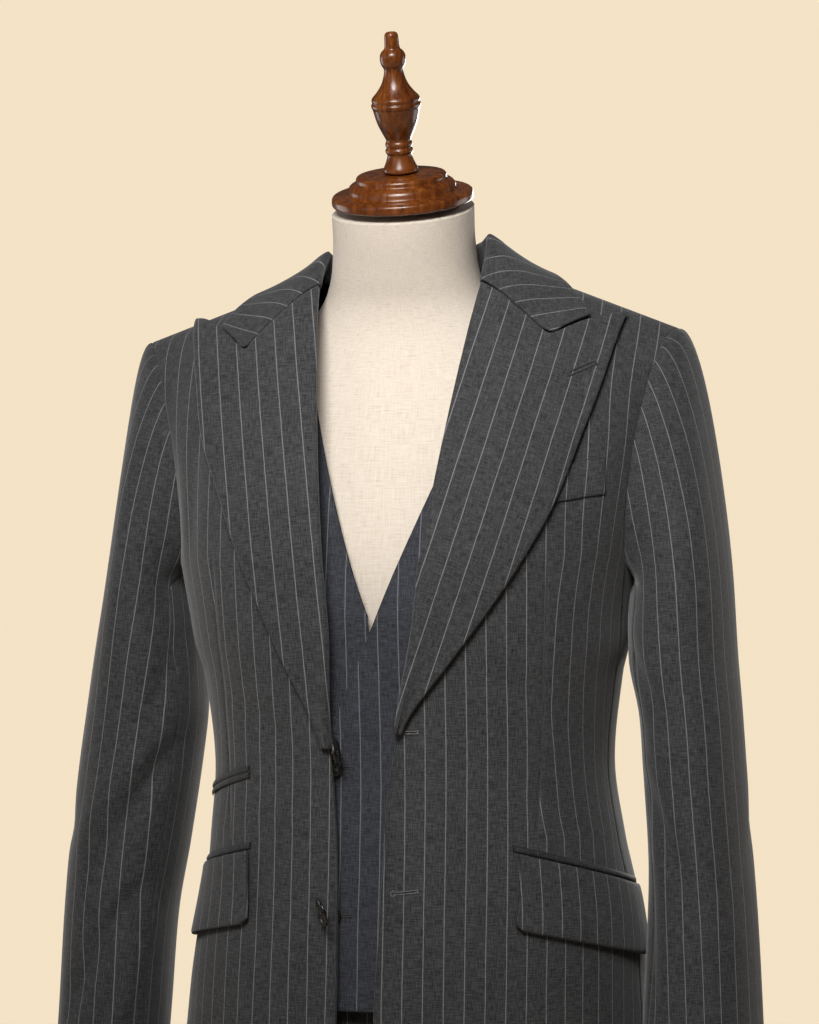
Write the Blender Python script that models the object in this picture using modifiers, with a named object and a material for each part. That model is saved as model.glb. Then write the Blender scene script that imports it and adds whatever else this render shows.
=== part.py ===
"""A three-piece suit, hollow as worn, on a tailor's bust with a turned wooden top.

Metres, +Z up, the figure faces -Y and its left side is +X. The origin is the centre of the
base's underside. Every cloth piece is made in rows of points worked out from the tables
below. Panels get a wall along their own normals, and what lies on a panel is made from the
panel's points, moved out. Seams leave a gap between neighbouring pieces.
"""
import math

import bpy
from mathutils import Matrix, Vector

OBJECT_NAME = "three_piece_suit_on_tailors_bust"

# ---- cloth -------------------------------------------------------------------------------
JACKET_CLOTH = 0.0020          # wall of the jacket: cloth with its canvas
LIGHT_CLOTH = 0.0016           # wall of the waistcoat, trousers and pocket trims
ROUNDNESS = 0.86               # power of a body section: 1 is an ellipse, less is squarer

LEFT, RIGHT = 1, -1
SIDES = ((LEFT, "left"), (RIGHT, "right"))

# ---- jacket ------------------------------------------------------------------------------
# body sections: height, half_width, front_depth, back_depth, centre_x
JACKET_BODY = (
    (0.765, 0.1955, 0.1500, 0.1400, 0.0045),
    (0.860, 0.1905, 0.1480, 0.1390, 0.0055),
    (0.950, 0.1852, 0.1430, 0.1330, 0.0078),
    (0.985, 0.1820, 0.1405, 0.1290, 0.0093),
    (1.020, 0.1768, 0.1380, 0.1225, 0.0102),
    (1.045, 0.1722, 0.1362, 0.1170, 0.0092),
    (1.070, 0.1684, 0.1345, 0.1120, 0.0075),
    (1.130, 0.1623, 0.1330, 0.1060, 0.0052),
    (1.200, 0.1700, 0.1390, 0.1110, 0.0040),
    (1.222, 0.1762, 0.1412, 0.1145, 0.0027),
    (1.250, 0.1795, 0.1440, 0.1190, 0.0010),
    (1.290, 0.1860, 0.1460, 0.1240, 0.000),
)
# front edge, then roll line: height, left_x, right_x, each measured from the middle
JACKET_EDGE = (
    (0.765, 0.0800, 0.0900),
    (0.772, 0.0600, 0.0700),
    (0.790, 0.0400, 0.0500),
    (0.820, 0.0215, 0.0360),
    (0.870, 0.0085, 0.0270),
    (0.937, 0.0050, 0.0254),
    (1.002, 0.0077, 0.0256),
    (1.056, 0.0100, 0.0262),
    (1.117, 0.0135, 0.0298),
    (1.168, 0.0235, 0.0350),
    (1.238, 0.0377, 0.0345),
    (1.290, 0.0443, 0.0385),
)
# seams of the side panel: height, front_angle, back_angle (0 centre front, 90 side)
JACKET_SEAMS = (
    (0.765, 84.0, 122.0),
    (1.070, 84.0, 122.0),
    (1.200, 83.0, 118.0),
    (1.290, 79.0, 113.0),
)
ARMHOLE_DIP = 0.014            # how far the side panel's top sinks under the arm
UPPER_RISE = 0.230             # upward tangent of the upper panels at the chest line
# shares of a panel's width or height that a seam gap takes off its ends
SEAM_SHARE, SIDE_SEAM_SHARE, SHOULDER_SHARE = 0.0012, 0.0020, 0.0012
FRONT_SEAM_SHARE, WAISTCOAT_SHOULDER_SHARE, LEG_SEAM_SHARE = 0.0010, 0.0014, 0.0016
# tangents of the back neckline: at the centre back, at the neck point
NECKLINE_ACROSS, NECKLINE_UP = (0.09, 0.0, 0.0), (0.03, -0.09, 0.045)

# A cut holds what one upper garment's fronts and backs are worked out from. Tangents are
# across (+ outwards), back (+) or forward (-), up. Pairs are for the left and right side.
JACKET = {
    "body": JACKET_BODY, "edge": JACKET_EDGE, "seams": JACKET_SEAMS,
    "hem": 0.765, "chest": 1.290,
    "neck": {LEFT: (0.0735, -0.004, 1.5340), RIGHT: (0.0735, -0.004, 1.5225)},
    "tip": {LEFT: (0.2215, 0.008, 1.4765), RIGHT: (0.2230, 0.008, 1.4710)},
    "back_neck": (0.0, 0.060, 1.507), "neckline_share": 0.34,
    "edge_start": {LEFT: (0.046, 0.010, 0.260), RIGHT: (0.022, 0.010, 0.260)},
    "edge_end": {LEFT: (-0.020, 0.210, 0.008), RIGHT: (0.030, 0.210, -0.010)},
    "shoulder_front": (0.000, 0.190, 0.000),
    "front_arm_start": {LEFT: (0.000, -0.120, 0.160), RIGHT: (-0.045, -0.120, 0.160)},
    "front_arm_end": (0.050, 0.150, -0.020),
    "back_middle": (0.000, -0.100, 0.150), "shoulder_back": (0.000, -0.190, 0.000),
    "back_arm_start": (0.010, 0.060, 0.200), "back_arm_end": (0.050, -0.180, -0.020),
}

# ---- waistcoat ---------------------------------------------------------------------------
# body sections: height, half_width, front_depth, back_depth, centre_x
WAISTCOAT_BODY = (
    (0.945, 0.1700, 0.1300, 0.1210, 0.005),
    (1.020, 0.1625, 0.1265, 0.1120, 0.006),
    (1.080, 0.1550, 0.1230, 0.1010, 0.004),
    (1.130, 0.1515, 0.1215, 0.0960, 0.003),
    (1.200, 0.1580, 0.1265, 0.1010, 0.002),
    (1.250, 0.1670, 0.1320, 0.1090, 0.000),
)
# front edge and V neck: height, left_x, right_x, each measured from the middle
WAISTCOAT_EDGE = (
    (0.945, -0.0430, 0.0190),
    (1.060, -0.0440, 0.0180),
    (1.140, -0.0440, 0.0170),
    (1.162, -0.0330, 0.0150),
    (1.186, -0.0222, 0.0090),
    (1.2154, -0.0096, 0.0020),
    (1.2500, 0.0050, 0.0030),
)
WAISTCOAT_SEAMS = ((0.945, 94.0, 94.0), (1.250, 92.0, 92.0))
OVERLAP_LIFT = 0.0040         # the left front lies this far outside the right one
WAISTCOAT = {
    "body": WAISTCOAT_BODY, "edge": WAISTCOAT_EDGE, "seams": WAISTCOAT_SEAMS,
    "hem": 0.945, "chest": 1.250,
    "neck": {LEFT: (0.0840, -0.002, 1.5175), RIGHT: (0.0840, -0.002, 1.5090)},
    "tip": {LEFT: (0.1360, 0.004, 1.4960), RIGHT: (0.1360, 0.004, 1.4930)},
    "back_neck": (0.0, 0.046, 1.485), "neckline_share": 0.55,
    "edge_start": {LEFT: (0.093, 0.010, 0.250), RIGHT: (0.112, 0.010, 0.270)},
    "edge_end": {LEFT: (-0.100, 0.220, 0.041), RIGHT: (0.028, 0.220, -0.012)},
    "shoulder_front": (0.000, 0.200, 0.000),
    "front_arm_start": {LEFT: (-0.070, -0.190, 0.190), RIGHT: (-0.070, -0.190, 0.190)},
    "front_arm_end": (0.020, 0.200, -0.008),
    "back_middle": (0.000, -0.110, 0.190), "shoulder_back": (0.000, -0.165, 0.000),
    "back_arm_start": (-0.060, 0.150, 0.200), "back_arm_end": (0.020, -0.210, -0.008),
}

# ---- trousers ----------------------------------------------------------------------------
# hip sections: height, half_width, front_depth, back_depth, centre_x
TROUSER_BODY = (
    (0.775, 0.1680, 0.1120, 0.1160, 0.001),
    (0.870, 0.1660, 0.1170, 0.1180, 0.002),
    (0.950, 0.1620, 0.1190, 0.1140, 0.003),
    (1.020, 0.1525, 0.1160, 0.1035, 0.004),
    (1.080, 0.1460, 0.1130, 0.0925, 0.003),
)
# legs: height, left_inner, left_outer, right_inner, right_outer, front_y, back_y
LEGS = (
    (0.775, -0.0285, 0.1650, 0.0315, 0.1670, -0.1120, 0.1160),
    (0.600, -0.0265, 0.1380, 0.0335, 0.1700, -0.1060, 0.1000),
    (0.350, -0.0250, 0.1130, 0.0350, 0.1680, -0.0960, 0.0880),
    (0.050, -0.0240, 0.0980, 0.0370, 0.1600, -0.0880, 0.0800),
)
LEG_SPLIT = -0.030             # the legs part here, so that the pole runs down the left one
CROTCH_START, CROTCH = 0.876, 0.780
TROUSER_HEIGHTS = (1.034, 0.990, 0.940, 0.905, 0.880, 0.855, 0.830, 0.805, 0.780, 0.700,
                   0.560, 0.390, 0.220, 0.050)
WAISTBAND_TOP = 1.0745
WAISTBAND_WALL, WAISTBAND_STAND = 0.0028, 0.0006

# ---- sleeves: height, inner_x, outer_x, front_y, back_y ------------------------------------
SLEEVE_LEFT = (
    (1.262, 0.1846, 0.2637, -0.0660, 0.0760),
    (1.215, 0.1810, 0.2668, -0.0650, 0.0720),
    (1.170, 0.1897, 0.2707, -0.0640, 0.0680),
    (1.126, 0.1930, 0.2740, -0.0640, 0.0650),
    (1.055, 0.1980, 0.2800, -0.0660, 0.0580),
    (1.000, 0.1980, 0.2850, -0.0720, 0.0480),
    (0.922, 0.1962, 0.2908, -0.0860, 0.0300),
    (0.835, 0.1960, 0.2960, -0.1000, 0.0120),
)
SLEEVE_RIGHT = (
    (1.262, 0.1865, 0.2552, -0.0660, 0.0760),
    (1.215, 0.1795, 0.2640, -0.0650, 0.0720),
    (1.170, 0.1760, 0.2712, -0.0640, 0.0680),
    (1.126, 0.1800, 0.2774, -0.0640, 0.0650),
    (1.055, 0.1895, 0.2850, -0.0660, 0.0580),
    (1.000, 0.1970, 0.2870, -0.0720, 0.0480),
    (0.922, 0.1983, 0.2862, -0.0860, 0.0300),
    (0.835, 0.2010, 0.2870, -0.1000, 0.0120),
)
SLEEVES = {LEFT: SLEEVE_LEFT, RIGHT: SLEEVE_RIGHT}
SLEEVE_FRONT_SEAM = 145.0      # angle round the sleeve: 0 outside, 90 front, 180 inside
SLEEVE_BACK_SEAM = 300.0
SLEEVE_SEAM_GAP = 0.35         # angle that each panel keeps from a sleeve seam
ARMHOLE_FRONT_SHARE = 128.0    # angles that the front, side and back arcs of the armhole take
ARMHOLE_BACK_SHARE = 222.0
# angles of the points that the sleeve and the panels share along the armhole
ARMHOLE_FRONT_ANGLES = (0.0, 17.0, 38.0, 63.0, 88.0, 109.0, 128.0)
ARMHOLE_SIDE_ANGLES = (159.3, 190.7)
ARMHOLE_BACK_ANGLES = (222.0, 246.0, 273.0, 300.0, 322.0, 343.0, 360.0)
SLEEVE_ROUNDNESS = 0.92
SLEEVE_START = 0.0022          # the sleeve starts this far outside the armhole's edge
HEAD_REACH = 0.061             # outward tangent of the sleeve head at the shoulder tip
CUFF_SLANT = 0.012             # the cuff's back edge hangs lower than its front

# ---- lapels and collar -------------------------------------------------------------------
LAPEL_STAND = 0.0062           # outer face of the lapel above the front's outer face
# outer edge: height, left_x, right_x
LAPEL_EDGE = (
    (1.1480, 0.0210, 0.0378),
    (1.1600, 0.0250, 0.0418),
    (1.1780, 0.0345, 0.0490),
    (1.2146, 0.0620, 0.0680),
    (1.2610, 0.0950, 0.0890),
    (1.3040, 0.1210, 0.1085),
    (1.3414, 0.1385, 0.1245),
    (1.3898, 0.1550, 0.1470),
    (1.4288, 0.1665, 0.1570),
    (1.4620, 0.1745, 0.1675),
    (1.4850, 0.1800, 0.1765),
)
LAPEL_BOTTOM = {LEFT: 1.1600, RIGHT: 1.1480}
GORGE_TOP = 1.508              # height where the lapel's roll meets the collar
LAPEL_ROWS = 12
LAPEL_SHARES = (0.14, 0.32, 0.5, 0.68, 0.85, 1.0)
# half-round fold at the roll line: outward along the cloth, out of the cloth
FOLD = ((-0.0034, -0.0005), (-0.0041, 0.0020), (-0.0024, 0.0050))
# notch between lapel and collar, and the collar's corner: x, height
NOTCH = {LEFT: (0.1270, 1.4660), RIGHT: (0.1180, 1.4560)}
COLLAR_CORNER = {LEFT: (0.1550, 1.4815), RIGHT: (0.1455, 1.4762)}
COLLAR_STAND = 0.0062          # outer face of the leaf above the shoulder
COLLAR_EDGE_X = 0.118          # leaf's edge on the shoulder seam
COLLAR_EDGE_BACK = 1.487       # height of the leaf's edge on the centre back
COLLAR_EDGE_POWER = 1.3        # how the leaf's edge climbs from there to the shoulder
# fold line above the neck seam: share from centre back to gorge, up, inward
COLLAR_FOLD = (
    (0.00, 0.036, 0.000),
    (0.25, 0.028, 0.001),
    (0.50, 0.015, 0.005),
    (0.75, 0.005, 0.002),
    (1.00, 0.000, 0.000),
)
COLLAR_ROLL = ((-0.0047, -0.0005), (-0.0054, 0.0020), (-0.0031, 0.0052))
COLLAR_SHARES = (0.10, 0.28, 0.5, 0.75, 1.0)
COLLAR_ROWS = (0.0, 0.12, 0.25, 0.38, 0.5, 0.62, 0.75, 0.88, 0.985)    # 1 is the gorge
COLLAR_FALL = 2.1              # how fast the leaf comes down from the fold

# ---- pockets and buttons -----------------------------------------------------------------
TRIM_STAND = 0.0036            # outer face of jetting and welt above the panel
FLAP_STAND, FLAP_FLARE = 0.0040, 0.0014
FLAP_START = {LEFT: 35.1, RIGHT: 37.6}         # angle of its front edge
FLAP_END = {LEFT: 92.0, RIGHT: 95.5}           # angle of its back edge
JET_START = {LEFT: 33.2, RIGHT: 37.2}
FLAP_TOP = {LEFT: 1.0672, RIGHT: 1.0644}       # height at its front
FLAP_FALL = {LEFT: 0.0356, RIGHT: 0.0311}      # how much lower it ends at the back
FLAP_LEAN = {LEFT: 4.6, RIGHT: 2.7}            # angle by which its front edge leans forwards
FLAP_CORNER, CORNER_ANGLE = 0.0045, 3.0        # rounding of the lower front corner
FLAP_DEPTH = 0.0560
JET_HEIGHT = 0.0048
TICKET_START, TICKET_END = 39.0, 76.0
TICKET_TOP, TICKET_SLOPE = 1.1310, 0.0220
FLAP_TO_JET, TICKET_SLIT = 0.0013, 0.0004      # gaps between strips that lie edge to edge
WELT_INNER_X, WELT_OUTER_X = 0.080, 0.1725
WELT_LOW, WELT_HEIGHT, WELT_SLOPE = 1.3440, 0.0290, 0.19
JACKET_BUTTON, WAISTCOAT_BUTTON = 0.0230, 0.0150   # diameters
# buttons: name, diameter, centre, way it faces
BUTTONS = (
    ("jacket_button_upper", JACKET_BUTTON, (-0.0250, -0.1430, 1.1450), (0.98, 0.06, 0.16)),
    ("jacket_button_lower", JACKET_BUTTON, (-0.0340, -0.1500, 1.0230), (-0.84, -0.46, -0.28)),
    ("waistcoat_button_upper", WAISTCOAT_BUTTON, (-0.0312, -0.1268, 1.1323), (-0.10, -1.0, 0.0)),
    ("waistcoat_button_lower", WAISTCOAT_BUTTON, (-0.0312, -0.1314, 1.0187), (-0.10, -1.0, 0.06)),
)
SHANK_SHARE = 0.14             # length of a button's thread shank, as a share of its diameter

# ---- bust --------------------------------------------------------------------------------
# sections: height, half_width, front_depth, back_depth, centre_y
FORM_BODY = (
    (0.884, 0.1420, 0.0980, 0.0960, 0.000),
    (0.900, 0.1510, 0.1075, 0.1040, 0.000),
    (0.950, 0.1530, 0.1110, 0.1060, 0.000),
    (1.020, 0.1410, 0.1080, 0.0955, 0.000),
    (1.120, 0.1350, 0.1050, 0.0840, 0.000),
    (1.200, 0.1430, 0.1140, 0.0910, 0.000),
    (1.290, 0.1520, 0.1200, 0.0960, 0.000),
    (1.360, 0.1460, 0.1040, 0.0880, 0.000),
    (1.410, 0.1340, 0.0850, 0.0740, 0.000),
    (1.450, 0.1150, 0.0660, 0.0550, 0.000),
    (1.475, 0.0920, 0.0560, 0.0450, -0.002),
    (1.495, 0.0720, 0.0520, 0.0430, -0.006),
    (1.515, 0.0620, 0.0530, 0.0500, -0.011),
    (1.545, 0.0575, 0.0530, 0.0530, -0.018),
    (1.574, 0.0572, 0.0540, 0.0540, -0.0226),
)
FORM_ROUNDNESS = 0.92
CAP_CENTRE = Vector((0.0, -0.0232, 1.5800))    # middle of the cap's underside
CAP_TILT = math.radians(18.0)                  # the cap leans forward
# turned profiles, from the foot up: radius, height
CAP_PROFILE = (
    (0.0000, 0.0000), (0.0550, 0.0000), (0.0572, 0.0012), (0.0575, 0.0040), (0.0570, 0.0076),
    (0.0545, 0.0090), (0.0450, 0.0092), (0.0440, 0.0110), (0.0432, 0.0145), (0.0410, 0.0170),
    (0.0378, 0.0180), (0.0368, 0.0190), (0.0366, 0.0222), (0.0345, 0.0238), (0.0000, 0.0244),
)
FINIAL_PROFILE = (
    (0.0000, 0.0000), (0.0140, 0.0000), (0.0142, 0.0030), (0.0118, 0.0080), (0.0100, 0.0130),
    (0.0098, 0.0150), (0.0112, 0.0168), (0.0112, 0.0190), (0.0099, 0.0204), (0.0110, 0.0222),
    (0.0108, 0.0245), (0.0096, 0.0262), (0.0120, 0.0310), (0.0162, 0.0400), (0.0186, 0.0500),
    (0.0190, 0.0520), (0.0200, 0.0536), (0.0200, 0.0558), (0.0188, 0.0570), (0.0196, 0.0586),
    (0.0192, 0.0608), (0.0150, 0.0650), (0.0105, 0.0715), (0.0080, 0.0790), (0.0075, 0.0838),
    (0.0095, 0.0862), (0.0106, 0.0912), (0.0100, 0.0956), (0.0078, 0.0985), (0.0060, 0.0995),
    (0.0058, 0.1060), (0.0053, 0.1124), (0.0000, 0.1131),
)
BASE_PROFILE = (
    (0.0000, 0.0000), (0.1960, 0.0000), (0.2000, 0.0040), (0.2000, 0.0130), (0.1940, 0.0180),
    (0.1700, 0.0200), (0.0600, 0.0230), (0.0400, 0.0280), (0.0000, 0.0280),
)
POLE_RADIUS = 0.015
TOUCH_GAP = 0.0003


# ---- small mathematics -------------------------------------------------------------------
def smooth_value(rows, at, column):
    """Read a table's column at any height or share, on a smooth curve through its rows."""
    keys = [row[0] for row in rows]
    values = [row[column] for row in rows]
    if keys[0] > keys[-1]:
        keys, values = keys[::-1], values[::-1]
    at = min(max(at, keys[0]), keys[-1])
    index = 0
    while index < len(keys) - 2 and keys[index + 1] <= at:
        index += 1
    span = keys[index + 1] - keys[index]
    start_slope = slope_at(keys, values, index) * span
    end_slope = slope_at(keys, values, index + 1) * span
    return hermite(values[index], start_slope, values[index + 1], end_slope,
                   (at - keys[index]) / span)


def slope_at(keys, values, index):
    """Slope of the smooth curve at one of its rows."""
    low = max(index - 1, 0)
    high = min(index + 1, len(keys) - 1)
    return (values[high] - values[low]) / (keys[high] - keys[low])


def hermite(start, start_slope, end, end_slope, u):
    """Point at u (0 to 1) of the curve with these ends and end tangents."""
    squared, cubed = u * u, u * u * u
    return (start * (2 * cubed - 3 * squared + 1) + start_slope * (cubed - 2 * squared + u)
            + end * (3 * squared - 2 * cubed) + end_slope * (cubed - squared))


def smoothstep(low, high, value):
    """0 at low, 1 at high, smooth between them."""
    u = min(max((value - low) / (high - low), 0.0), 1.0)
    return u * u * (3.0 - 2.0 * u)


def mix(start, end, u):
    return start + (end - start) * u


def mix_pair(start, end, u):
    return mix(start[0], end[0], u), mix(start[1], end[1], u)


def signed_power(value, power):
    return math.copysign(abs(value) ** power, value)


def steps(count, low=0.0, high=1.0):
    """Evenly spaced values from low to high, with count spaces between them."""
    return [mix(low, high, i / count) for i in range(count + 1)]


def on_side(point, side):
    """The same point or direction on the wanted side of the figure."""
    return Vector((point[0] * side, point[1], point[2]))


# ---- body sections -----------------------------------------------------------------------
def section_point(table, height, angle, side, spread=0.0):
    """Point of a body section. angle: 0 centre front, 90 side, 180 centre back."""
    turn = math.radians(angle)
    half_width = smooth_value(table, height, 1) + spread
    depth = smooth_value(table, height, 2 if math.cos(turn) > 0 else 3) + spread
    x = side * half_width * signed_power(math.sin(turn), ROUNDNESS)
    y = -depth * signed_power(math.cos(turn), ROUNDNESS)
    return Vector((x + smooth_value(table, height, 4), y, height))


def angle_of(table, height, x, side):
    """Angle where the front of a section passes x, measured from the middle to that side."""
    reach = (x - side * smooth_value(table, height, 4)) / smooth_value(table, height, 1)
    return math.degrees(math.asin(signed_power(reach, 1.0 / ROUNDNESS)))


def edge_column(side):
    return 1 if side == LEFT else 2


# ---- fronts, backs and side panels -------------------------------------------------------
def front_angle(cut, side, height, s):
    """Angle of column s of the front: 0 at the front edge, 1 at the side seam."""
    edge_x = smooth_value(cut["edge"], height, edge_column(side))
    start = angle_of(cut["body"], height, edge_x, side)
    return mix(start, smooth_value(cut["seams"], height, 1), s)


def front_point(cut, side, s, t):
    """Front's outer face. t: 0 hem, 1 chest line, 2 shoulder seam."""
    height = mix(cut["hem"], cut["chest"], min(t, 1.0))
    lift = 0.0
    if cut is WAISTCOAT and side == LEFT:
        lift = OVERLAP_LIFT * (1.0 - smoothstep(0.35, 0.60, s)) * (1.0 - smoothstep(1.1, 1.6, t))
    start = section_point(cut["body"], height, front_angle(cut, side, height, s), side, lift)
    if t <= 1.0:
        return start
    armhole = smoothstep(0.45, 1.0, s)
    inner = smoothstep(0.0, 0.35, s)
    rise = mix(on_side(cut["edge_start"][side], side), Vector((0.0, 0.0, UPPER_RISE)), inner)
    rise = mix(rise, on_side(cut["front_arm_start"][side], side), armhole)
    fall = mix(on_side(cut["edge_end"][side], side), on_side(cut["shoulder_front"], side), inner)
    fall = mix(fall, on_side(cut["front_arm_end"], side), armhole)
    end = mix(on_side(cut["neck"][side], side), on_side(cut["tip"][side], side), s)
    return hermite(start, rise, end, fall, t - 1.0)


def back_top(cut, side, s):
    """Top edge of the back: neckline from the middle, then the shoulder seam."""
    neck = on_side(cut["neck"][side], side)
    share = cut["neckline_share"]
    if s < share:
        middle = Vector(cut["back_neck"])
        across = on_side(NECKLINE_ACROSS, side)
        up_the_neck = on_side(NECKLINE_UP, side)
        return hermite(middle, across, neck, up_the_neck, s / share)
    return mix(neck, on_side(cut["tip"][side], side), (s - share) / (1.0 - share))


def back_point(cut, side, s, t):
    """Back's outer face. s: 0 centre back, 1 side seam; t as on the front."""
    height = mix(cut["hem"], cut["chest"], min(t, 1.0))
    angle = mix(180.0, smooth_value(cut["seams"], height, 2), s)
    start = section_point(cut["body"], height, angle, side)
    if t <= 1.0:
        return start
    armhole = smoothstep(0.5, 1.0, s)
    rise = mix(Vector((0.0, 0.010, UPPER_RISE)), on_side(cut["back_arm_start"], side), armhole)
    neckline = cut["neckline_share"]
    fall = mix(on_side(cut["back_middle"], side), on_side(cut["shoulder_back"], side),
               smoothstep(0.3 * neckline, neckline, s))
    fall = mix(fall, on_side(cut["back_arm_end"], side), armhole)
    return hermite(start, rise, back_top(cut, side, s), fall, t - 1.0)


def side_point(cut, side, s, t):
    """Side panel's outer face, from the front seam (s 0) to the back seam (s 1)."""
    top = cut["chest"] - ARMHOLE_DIP * math.sin(math.pi * s)
    height = mix(cut["hem"], top, t)
    angle = mix(smooth_value(cut["seams"], height, 1), smooth_value(cut["seams"], height, 2), s)
    return section_point(cut["body"], height, angle, side)


def normal_of(surface, u, v, side):
    """Normal of a surface, from points close by: across the rows, then along them."""
    small = 0.003
    across = surface(u + small, v) - surface(u - small, v)
    along = surface(u, v + small) - surface(u, v - small)
    return (across.cross(along) * side).normalized()


def jacket_front(side):
    """The jacket front's surface, held inside its own edges."""
    def surface(s, t):
        return front_point(JACKET, side, min(max(s, 0.0), 1.0), min(max(t, 0.0), 2.0))
    return surface


def jacket_back(side):
    def surface(s, t):
        return back_point(JACKET, side, min(max(s, 0.0), 1.0), min(max(t, 0.0), 2.0))
    return surface


def raised(surface, s, t, side, height):
    """A panel's point, moved out along its normal."""
    return surface(s, t) + normal_of(surface, s, t, side) * height


def find_on(surface, side, x, height, start=(0.4, 1.2)):
    """(s, t) of a jacket panel's point at that x and height, by Newton's method."""
    s, t = start
    small = 0.0005
    for _ in range(30):
        here = surface(s, t)
        error = Vector((side * here.x - x, here.z - height))
        if error.length < 1e-6:
            break
        by_s = (surface(s + small, t) - here) / small
        by_t = (surface(s, t + small) - here) / small
        change = Matrix(((side * by_s.x, side * by_t.x), (by_s.z, by_t.z))).inverted() @ error
        s = min(max(s - change.x, 0.0), 1.0 - small)
        t = min(max(t - change.y, 0.0), 2.0 - small)
    return s, t


def find_on_front(side, x, height):
    return find_on(jacket_front(side), side, x, height)


def roll_t(side, height):
    """t of the roll line (the front's first column) at that height."""
    low, high = 0.0, 2.0
    for _ in range(40):
        middle = (low + high) / 2
        if front_point(JACKET, side, 0.0, middle).z < height:
            low = middle
        else:
            high = middle
    return low


# ---- sleeves -----------------------------------------------------------------------------
def armhole_point(side, angle):
    """Edge of the armhole. angle: 0 shoulder tip, 90 front, 180 underarm, 270 back."""
    if angle <= ARMHOLE_FRONT_SHARE:
        return front_point(JACKET, side, 1.0, 2.0 - angle / ARMHOLE_FRONT_SHARE)
    if angle <= ARMHOLE_BACK_SHARE:
        span = ARMHOLE_BACK_SHARE - ARMHOLE_FRONT_SHARE
        return side_point(JACKET, side, (angle - ARMHOLE_FRONT_SHARE) / span, 1.0)
    span = 360.0 - ARMHOLE_BACK_SHARE
    return back_point(JACKET, side, 1.0, 1.0 + (angle - ARMHOLE_BACK_SHARE) / span)


def sleeve_ring(side, height, angle):
    """Point of the sleeve's section at one height."""
    table = SLEEVES[side]
    inner, outer = smooth_value(table, height, 1), smooth_value(table, height, 2)
    front, back = smooth_value(table, height, 3), smooth_value(table, height, 4)
    turn = math.radians(angle)
    x = mix(inner, outer, 0.5 + 0.5 * signed_power(math.cos(turn), SLEEVE_ROUNDNESS))
    y = mix(back, front, 0.5 + 0.5 * signed_power(math.sin(turn), SLEEVE_ROUNDNESS))
    slant = CUFF_SLANT * smoothstep(0.930, 0.835, height) * math.sin(turn)
    return Vector((side * x, y, height + slant))


def sleeve_point(side, angle, v):
    """Sleeve's outer face. v: 0 armhole, 1 first ring, 2 cuff."""
    first, last = SLEEVES[side][0][0], SLEEVES[side][-1][0]
    if v >= 1.0:
        return sleeve_ring(side, mix(first, last, v - 1.0), angle)
    turn = math.radians(angle)
    top = 0.5 + 0.5 * math.cos(turn)
    forward = -math.sin(turn)
    start = armhole_point(side, angle % 360.0) + Vector((side * SLEEVE_START, 0.0, 0.0))
    end = sleeve_ring(side, first, angle)
    outward = mix(0.004, HEAD_REACH, top) + 0.020 * abs(forward)
    upward = mix(-0.018, 0.014, top) - 0.010 * abs(forward)
    leave = Vector((side * outward, 0.020 * forward, upward))
    below = sleeve_ring(side, first - 0.020, angle)
    arrive = (below - end).normalized() * (end - start).length
    return hermite(start, leave, end, arrive, v)


# ---- lapels and collar -------------------------------------------------------------------
def fold_points(surface, side, t):
    """Half-round fold at a panel's first column, clear of the panel's edge."""
    edge = surface(0.0, t)
    normal = normal_of(surface, 0.003, t, side)
    outward = (surface(0.02, t) - edge).normalized()
    return [edge + outward * across + normal * out for across, out in FOLD]


def lapel_rows(side):
    """Rows of the lapel: a fold round the front's edge, then flat on the front."""
    surface = jacket_front(side)
    notch = find_on_front(side, *NOTCH[side])
    peak = find_on_front(side, LAPEL_EDGE[-1][edge_column(side)], LAPEL_EDGE[-1][0])
    top = mix_pair((0.0, roll_t(side, GORGE_TOP)), peak, 0.5)
    rows = []
    for u in steps(LAPEL_ROWS):
        edge_height = mix(LAPEL_BOTTOM[side], LAPEL_EDGE[-1][0], u)
        edge_x = smooth_value(LAPEL_EDGE, edge_height, edge_column(side))
        edge = find_on_front(side, edge_x, edge_height)
        roll = (0.0, roll_t(side, mix(LAPEL_BOTTOM[side], GORGE_TOP, u)))
        dip = smoothstep(0.35, 1.0, u)
        middle = mix_pair(roll, edge, 0.5)
        middle = (middle[0] + dip * (notch[0] - top[0]), middle[1] + dip * (notch[1] - top[1]))
        row = fold_points(surface, side, roll[1])
        row += [raised(surface, *broken_line(roll, middle, edge, share), side, LAPEL_STAND)
                for share in LAPEL_SHARES]
        rows.append(row)
    return rows


def collar_places(side, share):
    """A collar row's places on the panel below: the neck seam, then one per leaf share.

    share: 0 centre back, 0.5 neck point, 1 gorge.
    """
    neck, tip = JACKET["neck"][side], JACKET["tip"][side]
    shoulder_share = (COLLAR_EDGE_X - neck[0]) / (tip[0] - neck[0])
    if share < 0.5:
        surface = jacket_back(side)
        turn = math.pi * share
        base = (JACKET["neckline_share"] * share / 0.5, 2.0)
        start = surface(*base)
        seam_height = mix(neck[2], tip[2], shoulder_share)
        drop = (seam_height - COLLAR_EDGE_BACK) * math.cos(turn) ** COLLAR_EDGE_POWER
        edge_x, edge_height = COLLAR_EDGE_X * math.sin(turn), seam_height - drop
        guess = (max(base[0], 0.05), 1.95)
        return [base] + [find_on(surface, side, mix(side * start.x, edge_x, leaf),
                                 mix(start.z, edge_height, leaf), guess)
                         for leaf in COLLAR_SHARES]
    corner = find_on_front(side, *COLLAR_CORNER[side])
    gorge = (0.0, roll_t(side, GORGE_TOP))
    u = (share - 0.5) / 0.5
    base = mix_pair((0.0, 2.0), gorge, u)
    edge = mix_pair((shoulder_share, 2.0), corner, u)
    notch, straight = find_on_front(side, *NOTCH[side]), mix_pair(gorge, corner, 0.5)
    dip = smoothstep(0.55, 1.0, share)
    middle = mix_pair(base, edge, 0.5)
    middle = (middle[0] + dip * (notch[0] - straight[0]),
              middle[1] + dip * (notch[1] - straight[1]))
    return [base] + [broken_line(base, middle, edge, leaf) for leaf in COLLAR_SHARES]


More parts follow.
